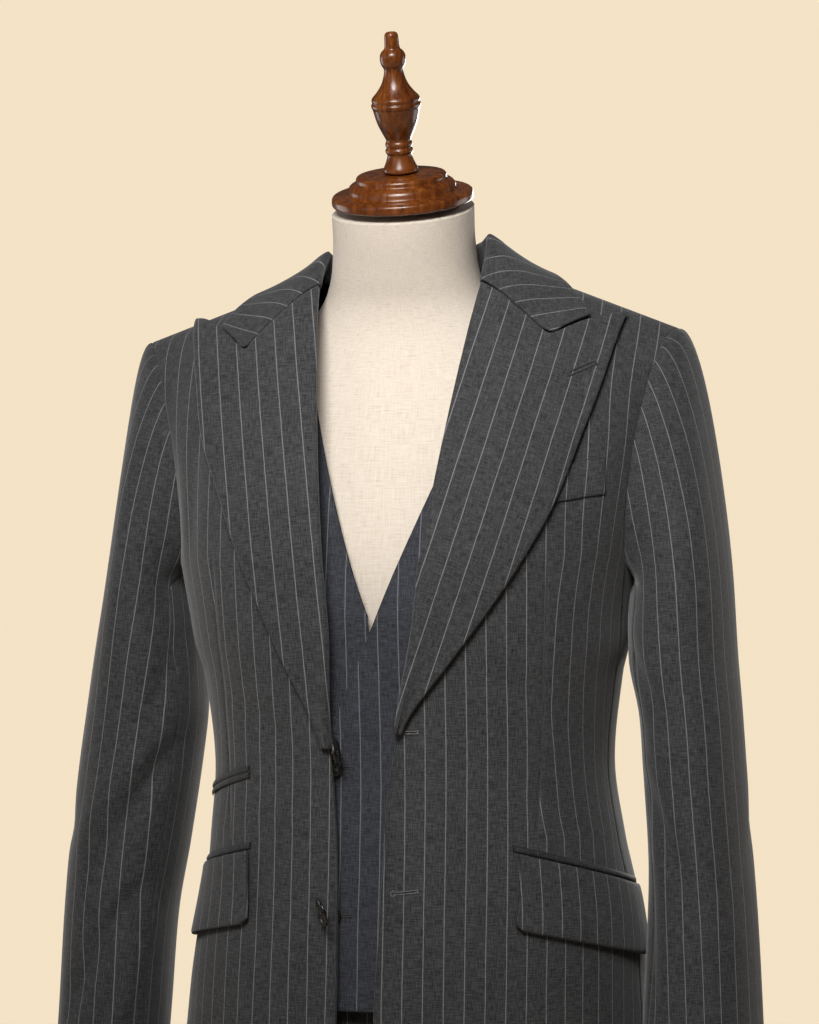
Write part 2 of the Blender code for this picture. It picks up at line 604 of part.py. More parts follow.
def broken_line(start, middle, end, share):
    """Place on the line from start to middle (share 0.5) to end (share 1)."""
    if share <= 0.5:
        return mix_pair(start, middle, share / 0.5)
    return mix_pair(middle, end, (share - 0.5) / 0.5)


def collar_row(side, share):
    """One row of the collar, from the stand over the fold to the leaf's edge."""
    on_front = share >= 0.5
    surface = jacket_front(side) if on_front else jacket_back(side)
    turned_side = side if on_front else -side
    places = collar_places(side, share)
    base = places[0]
    root_point = surface(*base)
    normal = normal_of(surface, base[0] + 0.004, base[1] - 0.004, turned_side)
    if on_front:
        outward = (surface(0.02, base[1]) - root_point).normalized()
    else:
        along = surface(base[0] + 0.01, base[1]) - root_point
        outward = normal.cross(along).normalized() * side
    up, inward = smooth_value(COLLAR_FOLD, share, 1), smooth_value(COLLAR_FOLD, share, 2)
    lift = Vector((-side * inward, 0.0, up))
    row = [root_point + outward * across + normal * out + lift * part
           for (across, out), part in zip(COLLAR_ROLL, (0.0, 0.80, 1.02))]
    for leaf, (s, t) in zip(COLLAR_SHARES, places[1:]):
        point = raised(surface, s, t - 0.003, turned_side, COLLAR_STAND)
        row.append(point + lift * (1.0 - leaf) ** COLLAR_FALL)
    return row


# ---- trousers ----------------------------------------------------------------------------
def trouser_point(side, forward, s, height):
    """Leg panel's outer face. s: 0 centre seam or inseam, 1 side seam. forward: 1 or -1."""
    legs = smoothstep(CROTCH_START, CROTCH, height)
    angle = mix(0.0, 90.0, s) if forward > 0 else mix(180.0, 90.0, s)
    hip = section_point(TROUSER_BODY, height, angle, side)
    hip.x += LEG_SPLIT * legs * (1.0 - s)
    inner = smooth_value(LEGS, height, 1 if side == LEFT else 3)
    outer = smooth_value(LEGS, height, 2 if side == LEFT else 4)
    reach = smooth_value(LEGS, height, 5 if forward > 0 else 6)
    turn = math.pi * (1.0 - s)
    x = mix(inner, outer, 0.5 + 0.5 * signed_power(math.cos(turn), FORM_ROUNDNESS))
    leg = Vector((side * x, reach * abs(math.sin(turn)) ** FORM_ROUNDNESS, height))
    return mix(hip, leg, legs)


# ---- meshes ------------------------------------------------------------------------------
def new_material(name, colour, roughness):
    material = bpy.data.materials.new(name)
    material.use_nodes = True
    shader = material.node_tree.nodes["Principled BSDF"]
    shader.inputs["Base Color"].default_value = (*colour, 1.0)
    shader.inputs["Roughness"].default_value = roughness
    return material


def link_mesh(name, points, faces, material):
    mesh = bpy.data.meshes.new(name)
    mesh.from_pydata(points, [], faces)
    mesh.materials.append(material)
    mesh.shade_smooth()
    thing = bpy.data.objects.new(name, mesh)
    collection.objects.link(thing)
    thing.parent = root
    return thing


def grid_faces(width, height):
    """Triangles of a grid. Both faces of a wall use them, so that they bend alike."""
    faces = []
    for row in range(height - 1):
        for column in range(width - 1):
            first = row * width + column
            faces.append([first, first + 1, first + width + 1])
            faces.append([first, first + width + 1, first + width])
    return faces


def cloth_sheet(name, rows, side, material, thickness):
    """A sheet from rows of points, thickened to the inside by Solidify."""
    faces = grid_faces(len(rows[0]), len(rows))
    if side == RIGHT:
        faces = [corners[::-1] for corners in faces]
    thing = link_mesh(name, [point for row in rows for point in row], faces, material)
    wall = thing.modifiers.new("wall", "SOLIDIFY")
    wall.thickness = thickness
    wall.offset = -1.0
    return thing


def inset(values, low, high):
    """The same list with its two ends moved in by the seam gap's shares."""
    return [values[0] + low] + values[1:-1] + [values[-1] - high]


def panel_wall(name, surface, side, columns, rows, material, thickness):
    """A panel between seams: two faces and a rim, along the surface's own normals.

    Neighbours share those normals, so the rims at a seam are parallel and never cross.
    """
    outer, inner = [], []
    for v in rows:
        for u in columns:
            point = surface(u, v)
            outer.append(point)
            inner.append(point - normal_of(surface, u, v, side) * thickness)
    width, height = len(columns), len(rows)
    total = width * height
    faces = grid_faces(width, height)
    faces += [[corner + total for corner in corners[::-1]] for corners in faces]
    rim = list(range(width)) + [row * width + width - 1 for row in range(1, height)]
    rim += [total - 1 - column for column in range(1, width)]
    rim += [row * width for row in range(height - 2, 0, -1)]
    for here, after in zip(rim, rim[1:] + rim[:1]):
        faces.append([after, here, here + total, after + total])
    if side == RIGHT:
        faces = [corners[::-1] for corners in faces]
    return link_mesh(name, outer + inner, faces, material)


def turned(name, profile, segments, material):
    """A solid of revolution: a profile of (radius, height), foot first, and a Screw."""
    mesh_points = [Vector((radius, 0.0, height)) for radius, height in profile[::-1]]
    mesh = bpy.data.meshes.new(name)
    mesh.from_pydata(mesh_points, [(i, i + 1) for i in range(len(mesh_points) - 1)], [])
    mesh.materials.append(material)
    thing = bpy.data.objects.new(name, mesh)
    collection.objects.link(thing)
    thing.parent = root
    screw = thing.modifiers.new("turn", "SCREW")
    screw.steps = screw.render_steps = segments
    screw.use_merge_vertices = True
    screw.merge_threshold = 0.0001
    screw.use_smooth_shade = True
    return thing


# ---- pieces ------------------------------------------------------------------------------
def make_jacket_body(cloth):
    """Fronts, side panels and backs, whose rows are level so that the seams run true."""
    low = [0.0, 0.030, 0.070] + steps(9, 0.14, 1.0)
    front_high = [2.0 - angle / ARMHOLE_FRONT_SHARE for angle in ARMHOLE_FRONT_ANGLES[-2::-1]]
    span = 360.0 - ARMHOLE_BACK_SHARE
    back_high = [1.0 + (angle - ARMHOLE_BACK_SHARE) / span for angle in ARMHOLE_BACK_ANGLES[1:]]
    for side, label in SIDES:
        def front(s, t, side=side):
            return front_point(JACKET, side, s, t)

        def flank(s, t, side=side):
            return side_point(JACKET, side, s, t)

        def back(s, t, side=side):
            return back_point(JACKET, side, s, t)

        panel_wall(f"jacket_front_{label}", front, side,
                   inset(steps(9), 0.0, FRONT_SEAM_SHARE),
                   inset(low + front_high, 0.0, SHOULDER_SHARE), cloth, JACKET_CLOTH)
        panel_wall(f"jacket_side_{label}", flank, side,
                   inset(steps(3), SIDE_SEAM_SHARE, SIDE_SEAM_SHARE), low, cloth, JACKET_CLOTH)
        panel_wall(f"jacket_back_{label}", back, -side,
                   inset(steps(7), SEAM_SHARE, SEAM_SHARE),
                   inset(low + back_high, 0.0, SHOULDER_SHARE), cloth, JACKET_CLOTH)


def make_sleeves(cloth):
    rows = steps(6)[:-1] + steps(8, 1.0, 2.0)
    front, back = ARMHOLE_FRONT_ANGLES, ARMHOLE_BACK_ANGLES
    top = [angle - 360.0 for angle in back if angle >= SLEEVE_BACK_SEAM][:-1] + list(front)
    top = inset(top + [SLEEVE_FRONT_SEAM], SLEEVE_SEAM_GAP, SLEEVE_SEAM_GAP)
    under = [SLEEVE_FRONT_SEAM, *ARMHOLE_SIDE_ANGLES]
    under += [angle for angle in back if angle <= SLEEVE_BACK_SEAM]
    under = inset(under, SLEEVE_SEAM_GAP, SLEEVE_SEAM_GAP)
    for side, label in SIDES:
        def surface(angle, v, side=side):
            return sleeve_point(side, angle, v)

        for name, angles in (("sleeve_top", top), ("sleeve_under", under)):
            panel_wall(f"{name}_{label}", surface, side, angles, rows, cloth, LIGHT_CLOTH)


def make_lapels(cloth):
    for side, label in SIDES:
        cloth_sheet(f"lapel_{label}", lapel_rows(side), side, cloth, JACKET_CLOTH)


def make_collar(cloth):
    """One folded strip round the neck, from the left gorge to the right one."""
    left = [collar_row(LEFT, share) for share in COLLAR_ROWS]
    right = [collar_row(RIGHT, share) for share in COLLAR_ROWS[1:]]
    cloth_sheet("collar", left[::-1] + right, LEFT, cloth, JACKET_CLOTH)


def make_pockets(cloth):
    """Strips and flaps, each worked out on the panel below it and moved out."""
    for side, label in SIDES:
        start, top = FLAP_START[side], FLAP_TOP[side]
        end = FLAP_END[side]
        slope = FLAP_FALL[side] / (end - start)
        flap = pocket_strip(side, (start, end), top, slope, FLAP_DEPTH, 4,
                            FLAP_STAND, FLAP_FLARE, FLAP_LEAN[side])
        cloth_sheet(f"hip_flap_{label}", flap, side, cloth, LIGHT_CLOTH)
        jet_top = top + JET_HEIGHT + FLAP_TO_JET + slope * (start - JET_START[side])
        jet = pocket_strip(side, (JET_START[side], end), jet_top, slope, JET_HEIGHT, 1,
                           TRIM_STAND, 0.0)
        cloth_sheet(f"hip_jet_{label}", jet, side, cloth, LIGHT_CLOTH)
    slope = TICKET_SLOPE / (TICKET_END - TICKET_START)
    for name, top in (("upper", TICKET_TOP), ("lower", TICKET_TOP - JET_HEIGHT - TICKET_SLIT)):
        strip = pocket_strip(RIGHT, (TICKET_START, TICKET_END), top, slope, JET_HEIGHT, 1,
                             TRIM_STAND, 0.0)
        cloth_sheet(f"ticket_jet_{name}", strip, RIGHT, cloth, LIGHT_CLOTH)


def pocket_strip(side, angles, top, slope, depth, count, stand, flare, lean=0.0):
    """Rows of a strip round the hip, from its lower edge up."""
    rows = []
    for u in steps(count):
        row = []
        for angle in [angles[0], angles[0] + CORNER_ANGLE] + steps(7, *angles)[1:]:
            corner = FLAP_CORNER if angle == angles[0] else 0.0
            height = top - slope * (angle - angles[0]) - depth * (1.0 - u)
            if count > 1:
                height += corner * (1.0 - u)
            leaned = angle - lean * (1.0 - u) * (angles[1] - angle) / (angles[1] - angles[0])
            row.append(section_point(JACKET_BODY, height, leaned, side,
                                     stand + flare * (1.0 - u)))
        rows.append(row)
    return rows


def make_welt(cloth):
    surface = jacket_front(LEFT)
    rows = []
    for u in steps(1):
        row = []
        for x in steps(5, WELT_INNER_X, WELT_OUTER_X):
            height = WELT_LOW - WELT_SLOPE * (WELT_OUTER_X - x) + WELT_HEIGHT * u
            row.append(raised(surface, *find_on_front(LEFT, x, height), LEFT, TRIM_STAND))
        rows.append(row)
    cloth_sheet("breast_welt", rows, LEFT, cloth, LIGHT_CLOTH)


def make_buttons(horn):
    """Turned buttons with a dished face and a short thread shank behind."""
    for name, diameter, centre, facing in BUTTONS:
        rim = diameter / 2
        shank = -diameter * SHANK_SHARE
        profile = (
            (0.0, shank), (0.0016, shank), (0.0016, -0.0014), (rim * 0.60, -0.0012),
            (rim * 0.97, -0.0002), (rim, 0.0008), (rim * 0.90, 0.0018), (rim * 0.70, 0.0010),
            (0.0, 0.0008),
        )
        button = turned(name, profile, 14, horn)
        button.location = centre
        button.rotation_euler = Vector(facing).to_track_quat("Z", "Y").to_euler()


def make_waistcoat(cloth):
    low = steps(8)
    high = steps(6, 1.0, 2.0)[1:]
    across = [0.0, 0.06, 0.13, 0.21, 0.31, 0.43, 0.58, 0.78, 1.0]
    for side, label in SIDES:
        def front(s, t, side=side):
            return front_point(WAISTCOAT, side, s, t)

        panel_wall(f"waistcoat_front_{label}", front, side,
                   inset(across, 0.0, SEAM_SHARE),
                   inset(low + high, 0.0, WAISTCOAT_SHOULDER_SHARE), cloth, LIGHT_CLOTH)

    def back(s, t):
        return back_point(WAISTCOAT, LEFT if s > 0 else RIGHT, abs(s), t)

    columns = (inset(steps(5, -1.0, 0.0), SEAM_SHARE, 0.0)[:-1]
               + inset(steps(5), 0.0, SEAM_SHARE))
    panel_wall("waistcoat_back", back, RIGHT, columns,
               inset(low + high, 0.0, WAISTCOAT_SHOULDER_SHARE), cloth, LIGHT_CLOTH)


def make_trousers(cloth):
    for side, label in SIDES:
        for forward, name in ((1, "front"), (-1, "back")):
            def surface(s, v, side=side, forward=forward):
                return trouser_point(side, forward, s, TROUSER_HEIGHTS[0] - v)

            rows = [TROUSER_HEIGHTS[0] - height for height in TROUSER_HEIGHTS]
            panel_wall(f"trouser_{name}_{label}", surface, -side * forward,
                       inset(steps(6), LEG_SEAM_SHARE, LEG_SEAM_SHARE), rows, cloth, LIGHT_CLOTH)
    make_waistband(cloth)


def make_waistband(cloth):
    """A closed band: its section is a rectangle carried round the waist."""
    around = steps(24, 0.0, 360.0)[:-1]
    low, high = TROUSER_HEIGHTS[0] + 0.0004, WAISTBAND_TOP
    outer, inner = WAISTBAND_STAND, WAISTBAND_STAND - WAISTBAND_WALL
    corners = ((low, outer), (high, outer), (high, inner), (low, inner))
    points, faces = [], []
    for angle in around:
        side = LEFT if angle <= 180.0 else RIGHT
        half = angle if angle <= 180.0 else 360.0 - angle
        points += [section_point(TROUSER_BODY, height, half, side, spread)
                   for height, spread in corners]
    count = len(points)
    for i in range(0, count, 4):
        for k in range(4):
            after = (k + 1) % 4
            faces.append([i + k, (i + 4) % count + k, (i + 4) % count + after, i + after])
    link_mesh("trouser_waistband", points, faces, cloth)


def form_point(height, angle, side):
    turn = math.radians(angle)
    depth = smooth_value(FORM_BODY, height, 2 if math.cos(turn) > 0 else 3)
    x = side * smooth_value(FORM_BODY, height, 1) * signed_power(math.sin(turn), FORM_ROUNDNESS)
    y = smooth_value(FORM_BODY, height, 4) - depth * signed_power(math.cos(turn), FORM_ROUNDNESS)
    return Vector((x, y, height))


def make_form(linen, wood):
    """The bust, its neck cap and finial, which lean forward, and the stand."""
    around = steps(24, 0.0, 360.0)[:-1]
    points, faces = [], []
    for height, *_ in FORM_BODY:
        for angle in around:
            half = angle if angle <= 180.0 else 360.0 - angle
            points.append(form_point(height, half, LEFT if angle <= 180.0 else RIGHT))
    width = len(around)
    lean = math.tan(CAP_TILT)
    for point in points[-width:]:
        point.z += lean * (point.y - CAP_CENTRE.y)
    for first in range(0, len(points) - width, width):
        for i in range(width):
            after = (i + 1) % width
            faces.append([first + i, first + after, first + width + after, first + width + i])
    faces.append(list(range(width))[::-1])
    faces.append([len(points) - width + i for i in range(width)])
    link_mesh("form_body", points, faces, linen)

    cap = turned("form_cap", CAP_PROFILE, 28, wood)
    finial = turned("form_finial", FINIAL_PROFILE, 18, wood)
    axis = Vector((0.0, -math.sin(CAP_TILT), math.cos(CAP_TILT)))
    for piece, rise in ((cap, 0.0), (finial, CAP_PROFILE[-1][1] + TOUCH_GAP)):
        piece.location = CAP_CENTRE + axis * rise
        piece.rotation_euler = (CAP_TILT, 0.0, 0.0)

    turned("form_base", BASE_PROFILE, 32, wood)
    bottom, top = BASE_PROFILE[-1][1] + TOUCH_GAP, FORM_BODY[0][0] - TOUCH_GAP
    bpy.ops.mesh.primitive_cylinder_add(vertices=16, radius=POLE_RADIUS, depth=top - bottom,
                                        location=(0.0, 0.0, (top + bottom) / 2))
    pole = bpy.context.object
    pole.name = pole.data.name = "form_pole"
    pole.data.materials.append(wood)
    pole.parent = root
    for holder in list(pole.users_collection):
        holder.objects.unlink(pole)
    collection.objects.link(pole)


# ---- build -------------------------------------------------------------------------------
for old in list(bpy.data.objects):
    bpy.data.objects.remove(old)
collection = bpy.data.collections.new(OBJECT_NAME)
bpy.context.scene.collection.children.link(collection)
root = bpy.data.objects.new("figure", None)
collection.objects.link(root)

suiting = new_material("charcoal_pinstripe", (0.058, 0.058, 0.062), 0.9)
waistcoating = new_material("waistcoat_cloth", (0.060, 0.063, 0.075), 0.9)
horn = new_material("brown_horn", (0.055, 0.030, 0.016), 0.3)
linen = new_material("cream_linen", (0.62, 0.56, 0.46), 0.95)
wood = new_material("red_brown_wood", (0.115, 0.028, 0.012), 0.3)

make_jacket_body(suiting)
make_sleeves(suiting)
make_lapels(suiting)
make_collar(suiting)
make_pockets(suiting)
make_welt(suiting)
make_buttons(horn)
make_waistcoat(waistcoating)
make_trousers(suiting)
make_form(linen, wood)
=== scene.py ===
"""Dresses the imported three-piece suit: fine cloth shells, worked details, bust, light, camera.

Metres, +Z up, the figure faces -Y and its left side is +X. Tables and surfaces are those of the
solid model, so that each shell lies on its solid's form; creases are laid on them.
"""
import math

import bpy
import numpy as np
from mathutils import Matrix, Vector


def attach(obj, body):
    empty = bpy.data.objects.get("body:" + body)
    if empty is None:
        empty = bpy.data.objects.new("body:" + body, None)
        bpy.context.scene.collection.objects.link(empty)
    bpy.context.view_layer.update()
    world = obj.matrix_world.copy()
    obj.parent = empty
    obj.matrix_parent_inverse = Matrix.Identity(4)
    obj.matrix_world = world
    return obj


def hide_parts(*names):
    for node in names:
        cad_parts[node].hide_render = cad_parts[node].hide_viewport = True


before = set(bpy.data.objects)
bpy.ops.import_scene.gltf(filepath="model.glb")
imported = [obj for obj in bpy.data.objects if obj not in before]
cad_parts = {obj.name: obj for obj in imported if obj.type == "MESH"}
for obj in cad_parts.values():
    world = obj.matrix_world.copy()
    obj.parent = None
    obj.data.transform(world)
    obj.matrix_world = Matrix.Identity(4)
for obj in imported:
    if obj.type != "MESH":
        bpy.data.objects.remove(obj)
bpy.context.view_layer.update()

# ---- cloth -------------------------------------------------------------------------------
JACKET_CLOTH = 0.0020          # wall of the jacket: cloth with its canvas
LIGHT_CLOTH = 0.0016           # wall of the waistcoat, trousers and pocket trims
ROUNDNESS = 0.86               # power of a body section: 1 is an ellipse, less is squarer

LEFT, RIGHT = 1, -1
SIDES = ((LEFT, "left"), (RIGHT, "right"))

# ---- jacket ------------------------------------------------------------------------------
# body sections: height, half_width, front_depth, back_depth, centre_x
JACKET_BODY = (
    (0.765, 0.1955, 0.1500, 0.1400, 0.0045),
    (0.860, 0.1905, 0.1480, 0.1390, 0.0055),
    (0.950, 0.1852, 0.1430, 0.1330, 0.0078),
    (0.985, 0.1820, 0.1405, 0.1290, 0.0093),
    (1.020, 0.1768, 0.1380, 0.1225, 0.0102),
    (1.045, 0.1722, 0.1362, 0.1170, 0.0092),
    (1.070, 0.1684, 0.1345, 0.1120, 0.0075),
    (1.130, 0.1623, 0.1330, 0.1060, 0.0052),
    (1.200, 0.1700, 0.1390, 0.1110, 0.0040),
    (1.222, 0.1762, 0.1412, 0.1145, 0.0027),
    (1.250, 0.1795, 0.1440, 0.1190, 0.0010),
    (1.290, 0.1860, 0.1460, 0.1240, 0.000),
)
# front edge, then roll line: height, left_x, right_x, each measured from the middle
JACKET_EDGE = (
    (0.765, 0.0800, 0.0900),
    (0.772, 0.0600, 0.0700),
    (0.790, 0.0400, 0.0500),
    (0.820, 0.0215, 0.0360),
    (0.870, 0.0085, 0.0270),
    (0.937, 0.0050, 0.0254),
    (1.002, 0.0077, 0.0256),
    (1.056, 0.0100, 0.0262),
    (1.117, 0.0135, 0.0298),
    (1.168, 0.0235, 0.0350),
    (1.238, 0.0377, 0.0345),
    (1.290, 0.0443, 0.0385),
)
# seams of the side panel: height, front_angle, back_angle (0 centre front, 90 side)
JACKET_SEAMS = (
    (0.765, 84.0, 122.0),
    (1.070, 84.0, 122.0),
    (1.200, 83.0, 118.0),
    (1.290, 79.0, 113.0),
)
ARMHOLE_DIP = 0.014            # how far the side panel's top sinks under the arm
UPPER_RISE = 0.230             # upward tangent of the upper panels at the chest line
# shares of a panel's width or height that a seam gap takes off its ends
SEAM_SHARE, SIDE_SEAM_SHARE, SHOULDER_SHARE = 0.0012, 0.0020, 0.0012
FRONT_SEAM_SHARE, WAISTCOAT_SHOULDER_SHARE, LEG_SEAM_SHARE = 0.0010, 0.0014, 0.0016
# tangents of the back neckline: at the centre back, at the neck point
NECKLINE_ACROSS, NECKLINE_UP = (0.09, 0.0, 0.0), (0.03, -0.09, 0.045)

# A cut holds what one upper garment's fronts and backs are worked out from. Tangents are
# across (+ outwards), back (+) or forward (-), up. Pairs are for the left and right side.
JACKET = {
    "body": JACKET_BODY, "edge": JACKET_EDGE, "seams": JACKET_SEAMS,
    "hem": 0.765, "chest": 1.290,
    "neck": {LEFT: (0.0735, -0.004, 1.5340), RIGHT: (0.0735, -0.004, 1.5225)},
    "tip": {LEFT: (0.2215, 0.008, 1.4765), RIGHT: (0.2230, 0.008, 1.4710)},
    "back_neck": (0.0, 0.060, 1.507), "neckline_share": 0.34,
    "edge_start": {LEFT: (0.046, 0.010, 0.260), RIGHT: (0.022, 0.010, 0.260)},
    "edge_end": {LEFT: (-0.020, 0.210, 0.008), RIGHT: (0.030, 0.210, -0.010)},
    "shoulder_front": (0.000, 0.190, 0.000),
    "front_arm_start": {LEFT: (0.000, -0.120, 0.160), RIGHT: (-0.045, -0.120, 0.160)},
    "front_arm_end": (0.050, 0.150, -0.020),
    "back_middle": (0.000, -0.100, 0.150), "shoulder_back": (0.000, -0.190, 0.000),
    "back_arm_start": (0.010, 0.060, 0.200), "back_arm_end": (0.050, -0.180, -0.020),
}

# ---- waistcoat ---------------------------------------------------------------------------
# body sections: height, half_width, front_depth, back_depth, centre_x
WAISTCOAT_BODY = (
    (0.945, 0.1700, 0.1300, 0.1210, 0.005),
    (1.020, 0.1625, 0.1265, 0.1120, 0.006),
    (1.080, 0.1550, 0.1230, 0.1010, 0.004),
    (1.130, 0.1515, 0.1215, 0.0960, 0.003),
    (1.200, 0.1580, 0.1265, 0.1010, 0.002),
    (1.250, 0.1670, 0.1320, 0.1090, 0.000),
)
# front edge and V neck: height, left_x, right_x, each measured from the middle
WAISTCOAT_EDGE = (
    (0.945, -0.0430, 0.0190),
    (1.060, -0.0440, 0.0180),
    (1.140, -0.0440, 0.0170),
    (1.162, -0.0330, 0.0150),
    (1.186, -0.0222, 0.0090),
    (1.2154, -0.0096, 0.0020),
    (1.2500, 0.0050, 0.0030),
)
WAISTCOAT_SEAMS = ((0.945, 94.0, 94.0), (1.250, 92.0, 92.0))
OVERLAP_LIFT = 0.0040         # the left front lies this far outside the right one
WAISTCOAT = {
    "body": WAISTCOAT_BODY, "edge": WAISTCOAT_EDGE, "seams": WAISTCOAT_SEAMS,
    "hem": 0.945, "chest": 1.250,
    "neck": {LEFT: (0.0840, -0.002, 1.5175), RIGHT: (0.0840, -0.002, 1.5090)},
    "tip": {LEFT: (0.1360, 0.004, 1.4960), RIGHT: (0.1360, 0.004, 1.4930)},
    "back_neck": (0.0, 0.046, 1.485), "neckline_share": 0.55,
    "edge_start": {LEFT: (0.093, 0.010, 0.250), RIGHT: (0.112, 0.010, 0.270)},
    "edge_end": {LEFT: (-0.100, 0.220, 0.041), RIGHT: (0.028, 0.220, -0.012)},
    "shoulder_front": (0.000, 0.200, 0.000),
    "front_arm_start": {LEFT: (-0.070, -0.190, 0.190), RIGHT: (-0.070, -0.190, 0.190)},
    "front_arm_end": (0.020, 0.200, -0.008),
    "back_middle": (0.000, -0.110, 0.190), "shoulder_back": (0.000, -0.165, 0.000),
    "back_arm_start": (-0.060, 0.150, 0.200), "back_arm_end": (0.020, -0.210, -0.008),
}

# ---- trousers ----------------------------------------------------------------------------
# hip sections: height, half_width, front_depth, back_depth, centre_x
TROUSER_BODY = (
    (0.775, 0.1680, 0.1120, 0.1160, 0.001),
    (0.870, 0.1660, 0.1170, 0.1180, 0.002),
    (0.950, 0.1620, 0.1190, 0.1140, 0.003),
    (1.020, 0.1525, 0.1160, 0.1035, 0.004),
    (1.080, 0.1460, 0.1130, 0.0925, 0.003),
)
# legs: height, left_inner, left_outer, right_inner, right_outer, front_y, back_y
LEGS = (
    (0.775, -0.0285, 0.1650, 0.0315, 0.1670, -0.1120, 0.1160),
    (0.600, -0.0265, 0.1380, 0.0335, 0.1700, -0.1060, 0.1000),
    (0.350, -0.0250, 0.1130, 0.0350, 0.1680, -0.0960, 0.0880),
    (0.050, -0.0240, 0.0980, 0.0370, 0.1600, -0.0880, 0.0800),
)
LEG_SPLIT = -0.030             # the legs part here, so that the pole runs down the left one
CROTCH_START, CROTCH = 0.876, 0.780
TROUSER_HEIGHTS = (1.034, 0.990, 0.940, 0.905, 0.880, 0.855, 0.830, 0.805, 0.780, 0.700,
                   0.560, 0.390, 0.220, 0.050)
WAISTBAND_TOP = 1.0745
WAISTBAND_WALL, WAISTBAND_STAND = 0.0028, 0.0006

# ---- sleeves: height, inner_x, outer_x, front_y, back_y ------------------------------------
SLEEVE_LEFT = (
    (1.262, 0.1846, 0.2637, -0.0660, 0.0760),
    (1.215, 0.1810, 0.2668, -0.0650, 0.0720),
    (1.170, 0.1897, 0.2707, -0.0640, 0.0680),
    (1.126, 0.1930, 0.2740, -0.0640, 0.0650),
    (1.055, 0.1980, 0.2800, -0.0660, 0.0580),
    (1.000, 0.1980, 0.2850, -0.0720, 0.0480),
    (0.922, 0.1962, 0.2908, -0.0860, 0.0300),
    (0.835, 0.1960, 0.2960, -0.1000, 0.0120),
)
SLEEVE_RIGHT = (
    (1.262, 0.1865, 0.2552, -0.0660, 0.0760),
    (1.215, 0.1795, 0.2640, -0.0650, 0.0720),
    (1.170, 0.1760, 0.2712, -0.0640, 0.0680),
    (1.126, 0.1800, 0.2774, -0.0640, 0.0650),
    (1.055, 0.1895, 0.2850, -0.0660, 0.0580),
    (1.000, 0.1970, 0.2870, -0.0720, 0.0480),
    (0.922, 0.1983, 0.2862, -0.0860, 0.0300),
    (0.835, 0.2010, 0.2870, -0.1000, 0.0120),
)
SLEEVES = {LEFT: SLEEVE_LEFT, RIGHT: SLEEVE_RIGHT}
SLEEVE_FRONT_SEAM = 145.0      # angle round the sleeve: 0 outside, 90 front, 180 inside
SLEEVE_BACK_SEAM = 300.0
SLEEVE_SEAM_GAP = 0.14         # angle that each panel keeps from a sleeve seam
ARMHOLE_FRONT_SHARE = 128.0    # angles that the front, side and back arcs of the armhole take
ARMHOLE_BACK_SHARE = 222.0
SLEEVE_ROUNDNESS = 0.92
HEAD_REACH = 0.061             # outward tangent of the sleeve head at the shoulder tip
CUFF_SLANT = 0.012             # the cuff's back edge hangs lower than its front

# ---- lapels and collar -------------------------------------------------------------------
LAPEL_STAND = 0.0062           # outer face of the lapel above the front's outer face
# outer edge: height, left_x, right_x
LAPEL_EDGE = (
    (1.1480, 0.0210, 0.0378),
    (1.1600, 0.0250, 0.0418),
    (1.1780, 0.0345, 0.0490),
    (1.2146, 0.0620, 0.0680),
    (1.2610, 0.0950, 0.0890),
    (1.3040, 0.1210, 0.1085),
    (1.3414, 0.1385, 0.1245),
    (1.3898, 0.1550, 0.1470),
    (1.4288, 0.1665, 0.1570),
    (1.4620, 0.1745, 0.1675),
    (1.4850, 0.1800, 0.1765),
)
LAPEL_BOTTOM = {LEFT: 1.1600, RIGHT: 1.1480}
GORGE_TOP = 1.508              # height where the lapel's roll meets the collar
# half-round fold at the roll line: outward along the cloth, out of the cloth
FOLD = ((-0.0034, -0.0005), (-0.0041, 0.0020), (-0.0024, 0.0050))
# notch between lapel and collar, and the collar's corner: x, height
NOTCH = {LEFT: (0.1270, 1.4660), RIGHT: (0.1180, 1.4560)}
COLLAR_CORNER = {LEFT: (0.1550, 1.4815), RIGHT: (0.1455, 1.4762)}
COLLAR_STAND = 0.0062          # outer face of the leaf above the shoulder
COLLAR_EDGE_X = 0.118          # leaf's edge on the shoulder seam
COLLAR_EDGE_BACK = 1.487       # height of the leaf's edge on the centre back
COLLAR_EDGE_POWER = 1.3        # how the leaf's edge climbs from there to the shoulder
# fold line above the neck seam: share from centre back to gorge, up, inward
COLLAR_FOLD = (
    (0.00, 0.036, 0.000),
    (0.25, 0.028, 0.001),
    (0.50, 0.015, 0.005),
    (0.75, 0.005, 0.002),
    (1.00, 0.000, 0.000),
)
COLLAR_ROLL = ((-0.0047, -0.0005), (-0.0054, 0.0020), (-0.0031, 0.0052))
COLLAR_FALL = 2.1              # how fast the leaf comes down from the fold

# ---- pockets and buttons -----------------------------------------------------------------
FLAP_STAND, FLAP_FLARE = 0.0040, 0.0014
FLAP_START = {LEFT: 35.1, RIGHT: 37.6}         # angle of its front edge
FLAP_END = {LEFT: 92.0, RIGHT: 95.5}           # angle of its back edge
JET_START = {LEFT: 33.2, RIGHT: 37.2}
FLAP_TOP = {LEFT: 1.0672, RIGHT: 1.0644}       # height at its front
FLAP_FALL = {LEFT: 0.0356, RIGHT: 0.0311}      # how much lower it ends at the back
FLAP_LEAN = {LEFT: 4.6, RIGHT: 2.7}            # angle by which its front edge leans forwards
FLAP_CORNER, CORNER_ANGLE = 0.0045, 3.0        # rounding of the lower front corner
FLAP_DEPTH = 0.0560
JET_HEIGHT = 0.0048
TICKET_START, TICKET_END = 39.0, 76.0
TICKET_TOP, TICKET_SLOPE = 1.1310, 0.0220
FLAP_TO_JET, TICKET_SLIT = 0.0013, 0.0004      # gaps between strips that lie edge to edge
WELT_INNER_X, WELT_OUTER_X = 0.080, 0.1725
WELT_LOW, WELT_HEIGHT, WELT_SLOPE = 1.3440, 0.0290, 0.19
JACKET_BUTTON, WAISTCOAT_BUTTON = 0.0230, 0.0150   # diameters
